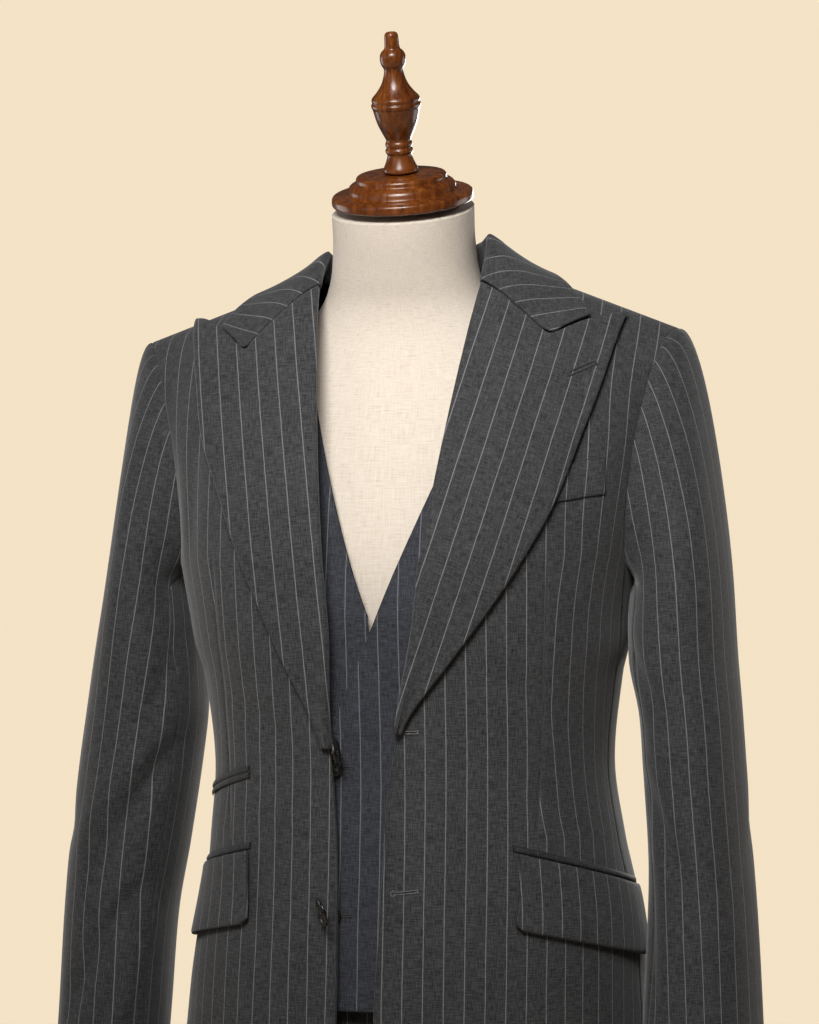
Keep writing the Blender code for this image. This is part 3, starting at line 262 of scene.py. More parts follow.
# buttons: name, diameter, centre, way it faces
BUTTONS = (
    ("jacket_button_upper", JACKET_BUTTON, (-0.0250, -0.1430, 1.1450), (0.98, 0.06, 0.16)),
    ("jacket_button_lower", JACKET_BUTTON, (-0.0340, -0.1500, 1.0230), (-0.84, -0.46, -0.28)),
    ("waistcoat_button_upper", WAISTCOAT_BUTTON, (-0.0312, -0.1268, 1.1323), (-0.10, -1.0, 0.0)),
    ("waistcoat_button_lower", WAISTCOAT_BUTTON, (-0.0312, -0.1314, 1.0187), (-0.10, -1.0, 0.06)),
)
SHANK_SHARE = 0.14             # length of a button's thread shank, as a share of its diameter

# ---- bust --------------------------------------------------------------------------------
# sections: height, half_width, front_depth, back_depth, centre_y
FORM_BODY = (
    (0.884, 0.1420, 0.0980, 0.0960, 0.000),
    (0.900, 0.1510, 0.1075, 0.1040, 0.000),
    (0.950, 0.1530, 0.1110, 0.1060, 0.000),
    (1.020, 0.1410, 0.1080, 0.0955, 0.000),
    (1.120, 0.1350, 0.1050, 0.0840, 0.000),
    (1.200, 0.1430, 0.1140, 0.0910, 0.000),
    (1.290, 0.1520, 0.1200, 0.0960, 0.000),
    (1.360, 0.1460, 0.1040, 0.0880, 0.000),
    (1.410, 0.1340, 0.0850, 0.0740, 0.000),
    (1.450, 0.1150, 0.0660, 0.0550, 0.000),
    (1.475, 0.0920, 0.0560, 0.0450, -0.002),
    (1.495, 0.0720, 0.0520, 0.0430, -0.006),
    (1.515, 0.0620, 0.0530, 0.0500, -0.011),
    (1.545, 0.0575, 0.0530, 0.0530, -0.018),
    (1.574, 0.0572, 0.0540, 0.0540, -0.0226),
)
FORM_ROUNDNESS = 0.92
CAP_CENTRE = (0.0, -0.0232, 1.5800)    # middle of the cap's underside
CAP_TILT = math.radians(18.0)                  # the cap leans forward
# turned profiles, from the foot up: radius, height
CAP_PROFILE = (
    (0.0000, 0.0000), (0.0550, 0.0000), (0.0572, 0.0012), (0.0575, 0.0040), (0.0570, 0.0076),
    (0.0545, 0.0090), (0.0450, 0.0092), (0.0440, 0.0110), (0.0432, 0.0145), (0.0410, 0.0170),
    (0.0378, 0.0180), (0.0368, 0.0190), (0.0366, 0.0222), (0.0345, 0.0238), (0.0000, 0.0244),
)
FINIAL_PROFILE = (
    (0.0000, 0.0000), (0.0140, 0.0000), (0.0142, 0.0030), (0.0118, 0.0080), (0.0100, 0.0130),
    (0.0098, 0.0150), (0.0112, 0.0168), (0.0112, 0.0190), (0.0099, 0.0204), (0.0110, 0.0222),
    (0.0108, 0.0245), (0.0096, 0.0262), (0.0120, 0.0310), (0.0162, 0.0400), (0.0186, 0.0500),
    (0.0190, 0.0520), (0.0200, 0.0536), (0.0200, 0.0558), (0.0188, 0.0570), (0.0196, 0.0586),
    (0.0192, 0.0608), (0.0150, 0.0650), (0.0105, 0.0715), (0.0080, 0.0790), (0.0075, 0.0838),
    (0.0095, 0.0862), (0.0106, 0.0912), (0.0100, 0.0956), (0.0078, 0.0985), (0.0060, 0.0995),
    (0.0058, 0.1060), (0.0053, 0.1124), (0.0000, 0.1131),
)
BASE_PROFILE = (
    (0.0000, 0.0000), (0.1960, 0.0000), (0.2000, 0.0040), (0.2000, 0.0130), (0.1940, 0.0180),
    (0.1700, 0.0200), (0.0600, 0.0230), (0.0400, 0.0280), (0.0000, 0.0280),
)
POLE_RADIUS = 0.015
TOUCH_GAP = 0.0003


# ---- scene's own sizes ---------------------------------------------------------------------
BODY_RADIUS, SLEEVE_RADIUS, LEG_RADIUS = 0.170, 0.045, 0.075   # turn angles into lengths
EDGE_STATIONS = (0.0007, 0.0015, 0.0024, 0.0036)    # extra rows beside a worked edge
LEAST_STEP = 0.0003             # between two rows
EDGE_ROLL, EDGE_ROLL_WIDTH = 0.26, 0.0011           # rounding of a finished edge
SEAM_DIP, SEAM_WIDTH = 0.00055, 0.0012              # ditch at a seam
RIM_BULGE = 0.22
LEAST_AREA = 0.31               # of a sheet, as a share of its width by its length
DART_TOP, DART_BOTTOM = (0.1341, 1.2932), (0.1251, 1.0786)     # x, height
DART_TAKE, DART_DEPTH, DART_WIDTH = 0.0095, 0.0008, 0.0013
LAPEL_BELLY = 0.35              # how much fuller the lapel's roll is at the bottom
LAPEL_CONTROLS, COLLAR_CONTROLS = 15, 11
JET_STAND, JET_WALL, JET_ROUND = 0.0013, 0.0011, 0.0007
WELT_STAND, WELT_WALL = 0.0020, 0.0017
FLAP_WALL = 0.0026
FORM_SIDES, FORM_RADIUS = 128, 0.13                 # faces round the bust; middling radius

# Creases: from around, height, to around, height, width, depth, bow.
# Around is a length from the centre front (jacket, waistcoat; left is +) or from the
# outside towards the front (sleeves, legs). A trough is -, a ridge is +.
JACKET_CREASES = (
    (0.026, 1.165, 0.023, 0.960, 0.0085, -0.0040, 0.0020),
    (0.060, 1.125, 0.064, 0.940, 0.0140, 0.0018, -0.0040),
    (0.100, 1.215, 0.190, 1.150, 0.0130, -0.0018, -0.0050),
    (0.112, 1.125, 0.185, 1.092, 0.0110, -0.0014, 0.0030),
    (0.060, 0.930, 0.052, 0.780, 0.0150, -0.0018, 0.0040),
    (0.185, 1.420, 0.176, 1.300, 0.0110, -0.0020, 0.0040),
    (-0.078, 1.142, -0.160, 1.192, 0.0120, -0.0018, 0.0040),
    (-0.060, 1.108, -0.150, 1.085, 0.0110, 0.0010, 0.0000),
    (-0.058, 0.985, -0.064, 0.850, 0.0140, -0.0016, 0.0040),
    (-0.190, 1.410, -0.180, 1.290, 0.0110, -0.0022, -0.0040),
    (-0.112, 0.960, -0.118, 0.730, 0.0170, 0.0016, 0.0030),
    (0.245, 0.960, 0.255, 0.700, 0.0180, 0.0020, 0.0040),
    (-0.250, 0.970, -0.262, 0.700, 0.0160, 0.0022, -0.0040),
    (0.262, 1.320, 0.262, 1.225, 0.0180, 0.0022, 0.0000),
    (0.345, 1.400, 0.372, 1.245, 0.0140, 0.0028, 0.0060),
    (-0.338, 1.390, -0.368, 1.235, 0.0150, 0.0026, -0.0070),
    (0.330, 1.330, 0.350, 1.220, 0.0110, -0.0020, 0.0030),
    (-0.322, 1.340, -0.346, 1.215, 0.0110, -0.0022, -0.0030),
    (0.400, 1.170, 0.505, 1.128, 0.0120, -0.0024, 0.0050),
    (-0.395, 1.160, -0.490, 1.118, 0.0115, -0.0021, 0.0040),
    (0.385, 1.110, 0.490, 1.092, 0.0100, -0.0016, 0.0030),
    (-0.430, 1.080, -0.560, 1.092, 0.0105, -0.0014, 0.0020),
    (0.455, 1.030, 0.478, 0.800, 0.0190, -0.0028, 0.0060),
    (-0.448, 1.020, -0.470, 0.700, 0.0180, -0.0026, -0.0050),
    (0.500, 1.452, 0.575, 1.450, 0.0090, -0.0012, 0.0030),
)
WAISTCOAT_CREASES = (
    (0.020, 1.105, 0.110, 1.120, 0.0080, -0.0010, 0.0030),
    (-0.040, 1.060, 0.050, 1.050, 0.0090, -0.0008, -0.0020),
    (0.000, 0.995, 0.090, 0.985, 0.0110, -0.0008, 0.0020),
    (-0.150, 1.120, -0.250, 1.140, 0.0100, -0.0014, 0.0030),
    (0.150, 1.130, 0.260, 1.150, 0.0100, -0.0015, 0.0030),
    (0.420, 1.150, 0.600, 1.146, 0.0100, -0.0016, 0.0030),
)
SLEEVE_CREASES = {
    RIGHT: (
        (0.1200, 1.150, 0.0640, 1.030, 0.0105, -0.0066, 0.0060),
        (0.0960, 1.150, 0.0440, 1.045, 0.0120, 0.0030, 0.0050),
        (0.1230, 1.235, 0.0850, 1.150, 0.0095, -0.0034, 0.0030),
        (0.1050, 1.030, 0.0500, 0.925, 0.0095, -0.0060, 0.0050),
        (0.1200, 1.005, 0.0860, 0.900, 0.0085, 0.0026, 0.0040),
        (0.0780, 0.905, 0.0350, 0.850, 0.0100, -0.0022, 0.0030),
        (-0.0200, 1.125, 0.0300, 1.060, 0.0140, -0.0026, 0.0040),
        (-0.0400, 1.110, -0.1050, 1.072, 0.0085, -0.0030, 0.0040),
        (-0.0450, 1.075, -0.1120, 1.045, 0.0080, -0.0026, -0.0030),
        (-0.0350, 1.150, -0.0900, 1.130, 0.0090, -0.0018, 0.0030),
        (0.0380, 1.430, 0.0500, 1.310, 0.0120, 0.0016, 0.0030),
        (0.0820, 1.390, 0.0900, 1.280, 0.0100, -0.0016, -0.0030),
        (-0.0620, 1.380, -0.0720, 1.230, 0.0130, -0.0022, 0.0040),
    ),
    LEFT: (
        (0.1160, 1.120, 0.0700, 1.010, 0.0110, -0.0042, 0.0050),
        (0.0900, 1.100, 0.0420, 1.000, 0.0130, 0.0020, 0.0050),
        (0.1200, 1.230, 0.0880, 1.160, 0.0100, -0.0030, 0.0030),
        (0.1150, 1.040, 0.0980, 0.920, 0.0090, -0.0020, -0.0040),
        (0.0300, 0.915, 0.0820, 0.885, 0.0100, -0.0012, 0.0020),
        (-0.0250, 1.105, 0.0250, 1.050, 0.0130, -0.0014, 0.0030),
        (-0.0380, 1.120, -0.1020, 1.085, 0.0090, -0.0028, 0.0040),
        (-0.0500, 1.082, -0.1150, 1.058, 0.0080, -0.0022, -0.0030),
        (-0.0420, 1.040, -0.0920, 1.020, 0.0090, -0.0016, 0.0020),
        (0.0350, 1.420, 0.0480, 1.300, 0.0120, 0.0016, 0.0030),
        (0.1340, 1.310, 0.1380, 1.230, 0.0140, 0.0030, 0.0000),
        (0.0850, 1.370, 0.0900, 1.270, 0.0100, -0.0018, -0.0030),
        (-0.0600, 1.370, -0.0700, 1.220, 0.0130, -0.0024, 0.0040),
    ),
}
# the pressed creases, front and back of a leg
PRESSED = tuple((around, 1.060, around, -0.300, 0.0026, 0.0016, 0.0)
                for around in (0.1178, 0.3534))
LEG_CREASES = {
    LEFT: PRESSED + (
        (0.0700, 0.200, 0.1700, 0.165, 0.0130, -0.0042, 0.0060),
        (0.0900, 0.135, 0.1600, 0.125, 0.0110, -0.0026, 0.0040),
        (0.2950, 0.500, 0.4100, 0.480, 0.0120, -0.0036, 0.0050),
        (0.3050, 0.455, 0.3900, 0.430, 0.0110, -0.0026, -0.0040),
        (0.1800, 0.760, 0.1200, 0.650, 0.0160, -0.0030, 0.0060),
        (0.2600, 0.770, 0.3300, 0.640, 0.0170, -0.0038, 0.0080),
        (0.0300, 0.420, 0.0400, 0.150, 0.0180, 0.0020, 0.0050),
    ),
    RIGHT: PRESSED + (
        (0.0640, 0.185, 0.1640, 0.170, 0.0130, -0.0038, -0.0060),
        (0.1000, 0.225, 0.1700, 0.205, 0.0110, -0.0024, 0.0040),
        (0.2900, 0.515, 0.4000, 0.490, 0.0120, -0.0032, 0.0050),
        (0.3100, 0.470, 0.4050, 0.452, 0.0110, -0.0028, 0.0040),
        (0.1850, 0.750, 0.1250, 0.660, 0.0160, -0.0026, 0.0060),
        (0.2550, 0.780, 0.3200, 0.650, 0.0170, -0.0040, 0.0080),
        (0.0200, 0.450, 0.0350, 0.170, 0.0180, 0.0018, -0.0050),
    ),
}
STRIPE_SPACING, STRIPE_HALF = 0.0160, 0.00030
SHOULDER_LEAN = 0.9             # of the stripes where they run over the shoulder
SHOULDER_RISE = (1.38, 1.50)    # heights from which and up to which they come to lean
STRIPE_START = {LEFT: 0.0052, RIGHT: -0.0020}       # of the stripes on the fronts
SLEEVE_STRIPE, WAISTCOAT_STRIPE = 0.003, 0.0105
TOP_MIDDLE, UNDER_MIDDLE = 28.0, 215.0              # angle of each sleeve panel's middle
LAPEL_STRIPE = {LEFT: 0.010, RIGHT: 0.008}
LAPEL_FACING = (0.225, -0.974, 0.0)                 # the way the lapels' flat cloth faces
LAPEL_ACROSS = {LEFT: (0.974, 0.225, -0.33), RIGHT: (0.974, 0.225, 0.10)}
# the collar's stripes, x, y and z by share of the way from the middle of the back
COLLAR_GRAIN = (
    ((0.0, 0.00), (0.25, 0.45), (0.5, 1.00), (1.0, 1.00)),
    ((0.0, 0.35), (0.25, 0.30), (0.5, 0.10), (0.75, 0.30), (1.0, 0.45)),
    ((0.0, -1.0), (0.25, -0.9), (0.5, -0.35), (0.75, 0.20), (1.0, 0.40)),
)
COLLAR_TILT = 0.06
SLEEVE_START = -0.0012         # the sleeve's head starts this far outside the armhole's edge

HOLE_LENGTH, HOLE_SPREAD = 0.0205, 0.085
FRONT_HOLES = (
    ("front_buttonhole_upper", (0.0270, 1.1605), 3.0, 0.0012),
    ("front_buttonhole_lower", (0.0275, 1.0380), 7.0, 0.0023),
)
LAPEL_HOLE = ((0.1520, 1.4395), 27.0, 0.0205)         # centre, tilt, length
WAISTCOAT_HOLES = (
    ("waistcoat_buttonhole_upper", (-0.0215, 1.1320), -2.0),
    ("waistcoat_buttonhole_lower", (-0.0225, 1.0180), -2.0),
)

# ---- camera, light and floor ---------------------------------------------------------------
CAMERA_AZIMUTH, CAMERA_HEIGHT, CAMERA_DISTANCE = 13.0, 1.33, 2.3
FOCAL_PIXELS, PHOTO_HEIGHT = 2820.0, 1024.0
FLOOR_RADIUS = 4.0
WORLD_LIGHT, WORLD_STRENGTH = (1.0, 0.99, 0.98), 0.06
WORLD_SEEN = (0.91, 0.765, 0.565)               # the plain backdrop
WHITE, WARM = (1.0, 0.99, 0.98), (1.0, 0.98, 0.95)
# lights: name, place, what it aims at, size, spread angle, power, colour
LIGHTS = (
    ("key", (0.05, -1.30, 2.22), (0.06, -0.10, 1.40), 0.8, 52.0, 3.7, WHITE),
    ("fill", (-2.0, -2.2, 1.6), (0.0, 0.0, 1.25), 1.6, 180.0, 4.0, WHITE),
    ("side_right", (-2.6, 0.7, 1.40), (0.0, 0.0, 1.20), 1.6, 180.0, 15.0, WHITE),
    ("side_left", (2.3, 1.7, 1.40), (0.0, 0.0, 1.20), 1.6, 180.0, 14.0, WHITE),
    ("back", (0.2, 2.9, 1.40), (0.0, 0.0, 1.20), 1.6, 180.0, 50.0, (1.0, 0.99, 0.97)),
) + tuple((name, (x, y, 0.90), (x, y, 0.0), 2.4, 180.0, 10.0, WARM)
          for name, x, y in (("floor_front", 0.0, -2.1), ("floor_back", 0.0, 2.1),
                             ("floor_right", -2.1, 0.0), ("floor_left", 2.1, 0.0)))

# ---- small mathematics, on whole arrays ----------------------------------------------------
def stack(x, y, z):
    return np.stack(np.broadcast_arrays(x, y, z), axis=-1).astype(float)


def hermite(start, start_slope, end, end_slope, u):
    squared, cubed = u * u, u * u * u
    return (start * (2 * cubed - 3 * squared + 1) + start_slope * (cubed - 2 * squared + u)
            + end * (3 * squared - 2 * cubed) + end_slope * (cubed - squared))


def smooth_value(rows, at, column):
    """Read a table's column at any heights, on a smooth curve through its rows."""
    rows = sorted(rows)
    keys = np.array([row[0] for row in rows])
    values = np.array([row[column] for row in rows])
    slopes = np.empty_like(values)
    slopes[1:-1] = (values[2:] - values[:-2]) / (keys[2:] - keys[:-2])
    slopes[0] = (values[1] - values[0]) / (keys[1] - keys[0])
    slopes[-1] = (values[-1] - values[-2]) / (keys[-1] - keys[-2])
    at = np.clip(at, keys[0], keys[-1])
    index = np.clip(np.searchsorted(keys, at, side="right") - 1, 0, len(keys) - 2)
    span = keys[index + 1] - keys[index]
    return hermite(values[index], slopes[index] * span, values[index + 1],
                   slopes[index + 1] * span, (at - keys[index]) / span)


def smoothstep(low, high, value):
    u = np.clip((value - low) / (high - low), 0.0, 1.0)
    return u * u * (3.0 - 2.0 * u)


def mix(start, end, u):
    return start + (end - start) * u


def signed_power(value, power):
    return np.sign(value) * np.abs(value) ** power


def on_side(point, side):
    return np.array((point[0] * side, point[1], point[2]))


def unit(vectors):
    return vectors / np.linalg.norm(vectors, axis=-1, keepdims=True)


def column_of(values):
    return np.asarray(values, float)[..., None]


# ---- body sections, fronts, backs and side panels -----------------------------------------
def section_point(table, height, angle, side, spread=0.0, power=ROUNDNESS):
    """Points of a body section. angle: 0 centre front, 90 side, 180 centre back."""
    turn = np.radians(angle)
    half_width = smooth_value(table, height, 1) + spread
    depth = np.where(np.cos(turn) > 0, smooth_value(table, height, 2),
                     smooth_value(table, height, 3)) + spread
    x = side * half_width * signed_power(np.sin(turn), power)
    return stack(x + smooth_value(table, height, 4),
                 -depth * signed_power(np.cos(turn), power), height)


def angle_of(table, height, x, side):
    reach = (x - side * smooth_value(table, height, 4)) / smooth_value(table, height, 1)
    return np.degrees(np.arcsin(np.clip(signed_power(reach, 1.0 / ROUNDNESS), -1.0, 1.0)))


def edge_column(side):
    return 1 if side == LEFT else 2


def front_angle(cut, side, height, s):
    edge_x = smooth_value(cut["edge"], height, edge_column(side))
    start = angle_of(cut["body"], height, edge_x, side)
    return mix(start, smooth_value(cut["seams"], height, 1), s)


def front_point(cut, side, s, t):
    """Front's outer face. s: 0 front edge, 1 side seam. t: 0 hem, 1 chest, 2 shoulder."""
    s, t = np.broadcast_arrays(np.asarray(s, float), np.asarray(t, float))
    height = mix(cut["hem"], cut["chest"], np.minimum(t, 1.0))
    lift = 0.0
    if cut is WAISTCOAT and side == LEFT:
        lift = (OVERLAP_LIFT * (1.0 - smoothstep(0.35, 0.60, s))
                * (1.0 - smoothstep(1.1, 1.6, t)))
    start = section_point(cut["body"], height, front_angle(cut, side, height, s), side, lift)
    armhole = column_of(smoothstep(0.45, 1.0, s))
    inner = column_of(smoothstep(0.0, 0.35, s))
    rise = mix(on_side(cut["edge_start"][side], side), np.array((0.0, 0.0, UPPER_RISE)), inner)
    rise = mix(rise, on_side(cut["front_arm_start"][side], side), armhole)
    fall = mix(on_side(cut["edge_end"][side], side), on_side(cut["shoulder_front"], side), inner)
    fall = mix(fall, on_side(cut["front_arm_end"], side), armhole)
    end = mix(on_side(cut["neck"][side], side), on_side(cut["tip"][side], side), column_of(s))
    return hermite(start, rise, end, fall, column_of(np.maximum(t - 1.0, 0.0)))


def back_top(cut, side, s):
    """Top edge of the back: neckline from the middle, then the shoulder seam."""
    neck, share = on_side(cut["neck"][side], side), cut["neckline_share"]
    curve = hermite(np.array(cut["back_neck"]), on_side(NECKLINE_ACROSS, side), neck,
                    on_side(NECKLINE_UP, side), column_of(s / share))
    seam = mix(neck, on_side(cut["tip"][side], side), column_of((s - share) / (1.0 - share)))
    return np.where(column_of(s) < share, curve, seam)


def back_point(cut, side, s, t):
    """Back's outer face. s: 0 centre back, 1 side seam; t as on the front."""
    s, t = np.broadcast_arrays(np.asarray(s, float), np.asarray(t, float))
    height = mix(cut["hem"], cut["chest"], np.minimum(t, 1.0))
    angle = mix(180.0, smooth_value(cut["seams"], height, 2), s)
    start = section_point(cut["body"], height, angle, side)
    armhole = column_of(smoothstep(0.5, 1.0, s))
    rise = mix(np.array((0.0, 0.010, UPPER_RISE)), on_side(cut["back_arm_start"], side), armhole)
    neckline = cut["neckline_share"]
    fall = mix(on_side(cut["back_middle"], side), on_side(cut["shoulder_back"], side),
               column_of(smoothstep(0.3 * neckline, neckline, s)))
    fall = mix(fall, on_side(cut["back_arm_end"], side), armhole)
    return hermite(start, rise, back_top(cut, side, s), fall,
                   column_of(np.maximum(t - 1.0, 0.0)))


def side_point(cut, side, s, t):
    top = cut["chest"] - ARMHOLE_DIP * np.sin(math.pi * s)
    height = mix(cut["hem"], top, t)
    angle = mix(smooth_value(cut["seams"], height, 1), smooth_value(cut["seams"], height, 2), s)
    return section_point(cut["body"], height, angle, side)


def normal_of(surface, u, v, side):
    small = 0.003
    across = surface(u + small, v) - surface(u - small, v)
    along = surface(u, v + small) - surface(u, v - small)
    return unit(np.cross(across, along) * side)


def jacket_front(side):
    return lambda s, t: front_point(JACKET, side, np.clip(s, 0.0, 1.0), np.clip(t, 0.0, 2.0))


def jacket_back(side):
    return lambda s, t: back_point(JACKET, side, np.clip(s, 0.0, 1.0), np.clip(t, 0.0, 2.0))


def raised(surface, s, t, side, height):
    return surface(s, t) + normal_of(surface, s, t, side) * height


def find_on(surface, side, x, height, start=(0.4, 1.2)):
    """(s, t) of a jacket panel's points at that x and height, by Newton's method."""
    x, height = np.broadcast_arrays(np.asarray(x, float), np.asarray(height, float))
    s, t = np.full(x.shape, float(start[0])), np.full(x.shape, float(start[1]))
    small = 0.0005
    for _ in range(25):
        here = surface(s, t)
        by_s = (surface(s + small, t) - here) / small
        by_t = (surface(s, t + small) - here) / small
        miss_x, miss_z = side * here[..., 0] - x, here[..., 2] - height
        a, b, c, d = side * by_s[..., 0], side * by_t[..., 0], by_s[..., 2], by_t[..., 2]
        area = a * d - b * c
        s = np.clip(s - (d * miss_x - b * miss_z) / area, 0.0, 1.0 - small)
        t = np.clip(t - (a * miss_z - c * miss_x) / area, 0.0, 2.0 - small)
    return s, t


def find_on_front(side, x, height):
    return find_on(jacket_front(side), side, x, height)


def roll_t(side, height):
    """t of the roll line (the front's first column) at that height."""
    places = np.linspace(0.0, 2.0, 1201)
    return np.interp(height, front_point(JACKET, side, 0.0, places)[:, 2], places)


# ---- sleeves, trousers and bust ------------------------------------------------------------
def armhole_point(side, angle):
    """Edge of the armhole. angle: 0 shoulder tip, 90 front, 180 underarm, 270 back."""
    span = ARMHOLE_BACK_SHARE - ARMHOLE_FRONT_SHARE
    rest = 360.0 - ARMHOLE_BACK_SHARE
    front = front_point(JACKET, side, 1.0, 2.0 - np.minimum(angle / ARMHOLE_FRONT_SHARE, 1.0))
    under = side_point(JACKET, side, np.clip((angle - ARMHOLE_FRONT_SHARE) / span, 0, 1), 1.0)
    back = back_point(JACKET, side, 1.0,
                      1.0 + np.clip((angle - ARMHOLE_BACK_SHARE) / rest, 0.0, 1.0))
    angle = column_of(angle)
    return np.where(angle <= ARMHOLE_FRONT_SHARE, front,
                    np.where(angle <= ARMHOLE_BACK_SHARE, under, back))


def sleeve_ring(side, height, angle):
    table = SLEEVES[side]
    inner, outer, front, back = [smooth_value(table, height, i) for i in (1, 2, 3, 4)]
    turn = np.radians(angle)
    x = mix(inner, outer, 0.5 + 0.5 * signed_power(np.cos(turn), SLEEVE_ROUNDNESS))
    y = mix(back, front, 0.5 + 0.5 * signed_power(np.sin(turn), SLEEVE_ROUNDNESS))
    slant = CUFF_SLANT * smoothstep(0.930, 0.835, height) * np.sin(turn)
    return stack(side * x, y, height + slant)


def sleeve_point(side, angle, v):
    """Sleeve's outer face. v: 0 armhole, 1 first ring, 2 cuff."""
    angle, v = np.broadcast_arrays(np.asarray(angle, float), np.asarray(v, float))
    first, last = SLEEVES[side][0][0], SLEEVES[side][-1][0]
    ring = sleeve_ring(side, mix(first, last, np.maximum(v - 1.0, 0.0)), angle)
    turn = np.radians(angle)
    top, forward = 0.5 + 0.5 * np.cos(turn), -np.sin(turn)
    start = armhole_point(side, angle % 360.0) + np.array((side * SLEEVE_START, 0.0, 0.0))
    end = sleeve_ring(side, first, angle)
    outward = mix(0.004, HEAD_REACH, top) + 0.020 * np.abs(forward)
    upward = mix(-0.018, 0.014, top) - 0.010 * np.abs(forward)
    leave = stack(side * outward, 0.020 * forward, upward)
    arrive = unit(sleeve_ring(side, first - 0.020, angle) - end)
    arrive = arrive * np.linalg.norm(end - start, axis=-1, keepdims=True)
    head = hermite(start, leave, end, arrive, column_of(np.minimum(v, 1.0)))
    return np.where(column_of(v) >= 1.0, ring, head)


def trouser_point(side, forward, s, height):
    """Leg panel's outer face. s: 0 centre seam or inseam, 1 side seam. forward: 1 or -1."""
    s, height = np.broadcast_arrays(np.asarray(s, float), np.asarray(height, float))
    legs = smoothstep(CROTCH_START, CROTCH, height)
    angle = 90.0 * s if forward > 0 else 180.0 - 90.0 * s
    hip = section_point(TROUSER_BODY, height, angle, side)
    hip[..., 0] += LEG_SPLIT * legs * (1.0 - s)
    inner = smooth_value(LEGS, height, 1 if side == LEFT else 3)
    outer = smooth_value(LEGS, height, 2 if side == LEFT else 4)
    reach = smooth_value(LEGS, height, 5 if forward > 0 else 6)
    turn = math.pi * (1.0 - s)
    x = mix(inner, outer, 0.5 + 0.5 * signed_power(np.cos(turn), FORM_ROUNDNESS))
    leg = stack(side * x, reach * np.abs(np.sin(turn)) ** FORM_ROUNDNESS, height)
    return mix(hip, leg, column_of(legs))


def form_point(height, angle):
    """Bust's face. angle: 0 centre front, round to 360."""
    turn = np.radians(angle)
    depth = np.where(np.cos(turn) > 0, smooth_value(FORM_BODY, height, 2),
                     smooth_value(FORM_BODY, height, 3))
    x = smooth_value(FORM_BODY, height, 1) * signed_power(np.sin(turn), FORM_ROUNDNESS)
    y = smooth_value(FORM_BODY, height, 4) - depth * signed_power(np.cos(turn), FORM_ROUNDNESS)
    return stack(x, y, height)


# ---- creases -------------------------------------------------------------------------------
def crease_depth(around, height, table, girth):
    """Sum of the troughs (-) and ridges (+) of a crease table, at each point."""
    total = np.zeros(np.broadcast(around, height).shape)
    for start_around, start_height, end_around, end_height, width, depth, bow in table:
        run, rise = end_around - start_around, end_height - start_height
        length = math.hypot(run, rise)
        offset = (around - start_around + girth / 2) % girth - girth / 2
        along = (offset * run + (height - start_height) * rise) / length ** 2
        across = (offset * rise - (height - start_height) * run) / length
        across = across - bow * 4.0 * along * (1.0 - along)
        fade = smoothstep(-0.15, 0.30, along) * smoothstep(1.15, 0.70, along)
        total += depth * fade * np.exp(-(across / width) ** 2)
    return total


def body_creases(points, *_, table=JACKET_CREASES):
    around = np.arctan2(points[..., 0], -points[..., 1]) * BODY_RADIUS
    return crease_depth(around, points[..., 2], table, 2 * math.pi * BODY_RADIUS)


def waistcoat_creases(points, *_):
    return body_creases(points, table=WAISTCOAT_CREASES)


# ---- cloth shells --------------------------------------------------------------------------
def stations(count, length, low=True, high=True, extra=()):
    """Places from 0 to 1, closer together at the worked ends and round the extra places."""
    near = np.array(EDGE_STATIONS) / length
    places = list(np.linspace(0.0, 1.0, count + 1)) + list(extra)
    places += list(near) if low else []
    places += list(1.0 - near) if high else []
    places = np.array(sorted(set(np.clip(places, 0.0, 1.0))))
    keep = np.concatenate(([True], np.diff(places) > LEAST_STEP / length))
    keep[-1] = True
    return places[keep]


def within_seams(columns, share):
    """The columns, of which the first and the last stop that share short of the seams."""
    return np.concatenate(([columns[0] + share], columns[1:-1], [columns[-1] - share]))


def run_along(points, axis):
    """Length along the grid's rows (axis 1) or columns (axis 0), from the first one."""
    step = np.linalg.norm(np.diff(points, axis=axis), axis=-1)
    zero = np.zeros_like(np.take(step, [0], axis=axis))
    return np.concatenate((zero, np.cumsum(step, axis=axis)), axis=axis)


def grid_normals(points, turned_side):
    across = np.gradient(points, axis=1)
    along = np.gradient(points, axis=0)
    return unit(np.cross(across, along) * turned_side)


def grain_cut(points, normals, grain=(0.0, 0.0, 1.0), column=0, row=None):
    """Places in the flat cut, in metres: across the stripes, and along them.

    grain: the stripes' direction in space. The count follows the given column, and goes out
    from it along the rows; or it follows the given row, and goes out along the columns.
    """
    grain = np.broadcast_to(np.asarray(grain, float), points.shape)
    if row is not None:
        turned = [np.swapaxes(grid, 0, 1) for grid in (points, normals, grain)]
        return [np.swapaxes(place - place[column, row], 0, 1)
                for place in grain_cut(*turned, column=row)]
    across_way = unit(np.cross(normals, grain))
    places = []
    for way in (across_way, np.cross(across_way, normals)):
        row = np.sum(np.diff(points, axis=1) * (way[:, 1:] + way[:, :-1]) / 2, axis=-1)
        row = np.concatenate((np.zeros((len(points), 1)), np.cumsum(row, axis=1)), axis=1)
        middle = (way[1:, column] + way[:-1, column]) / 2
        down = np.cumsum(np.sum(np.diff(points[:, column], axis=0) * middle, axis=-1))
        row += np.concatenate(([0.0], down))[:, None] - row[:, column:column + 1]
        places.append(row)
    return places


def edge_map(points, free):
    """Distance along and from the nearest finished edge, for stitching and the painted shadow line.
    """
    row, column = run_along(points, 1), run_along(points, 0)
    choices = {"first": (column, row), "last": (column, row[:, -1:] - row),
               "bottom": (row, column), "top": (row, column[-1:] - column)}
    along, away = np.zeros_like(row), np.full_like(row, 0.5)
    for name in free:
        places, distance = choices[name]
        nearer = distance < away
        along, away = np.where(nearer, places, along), np.where(nearer, distance, away)
    return along, away


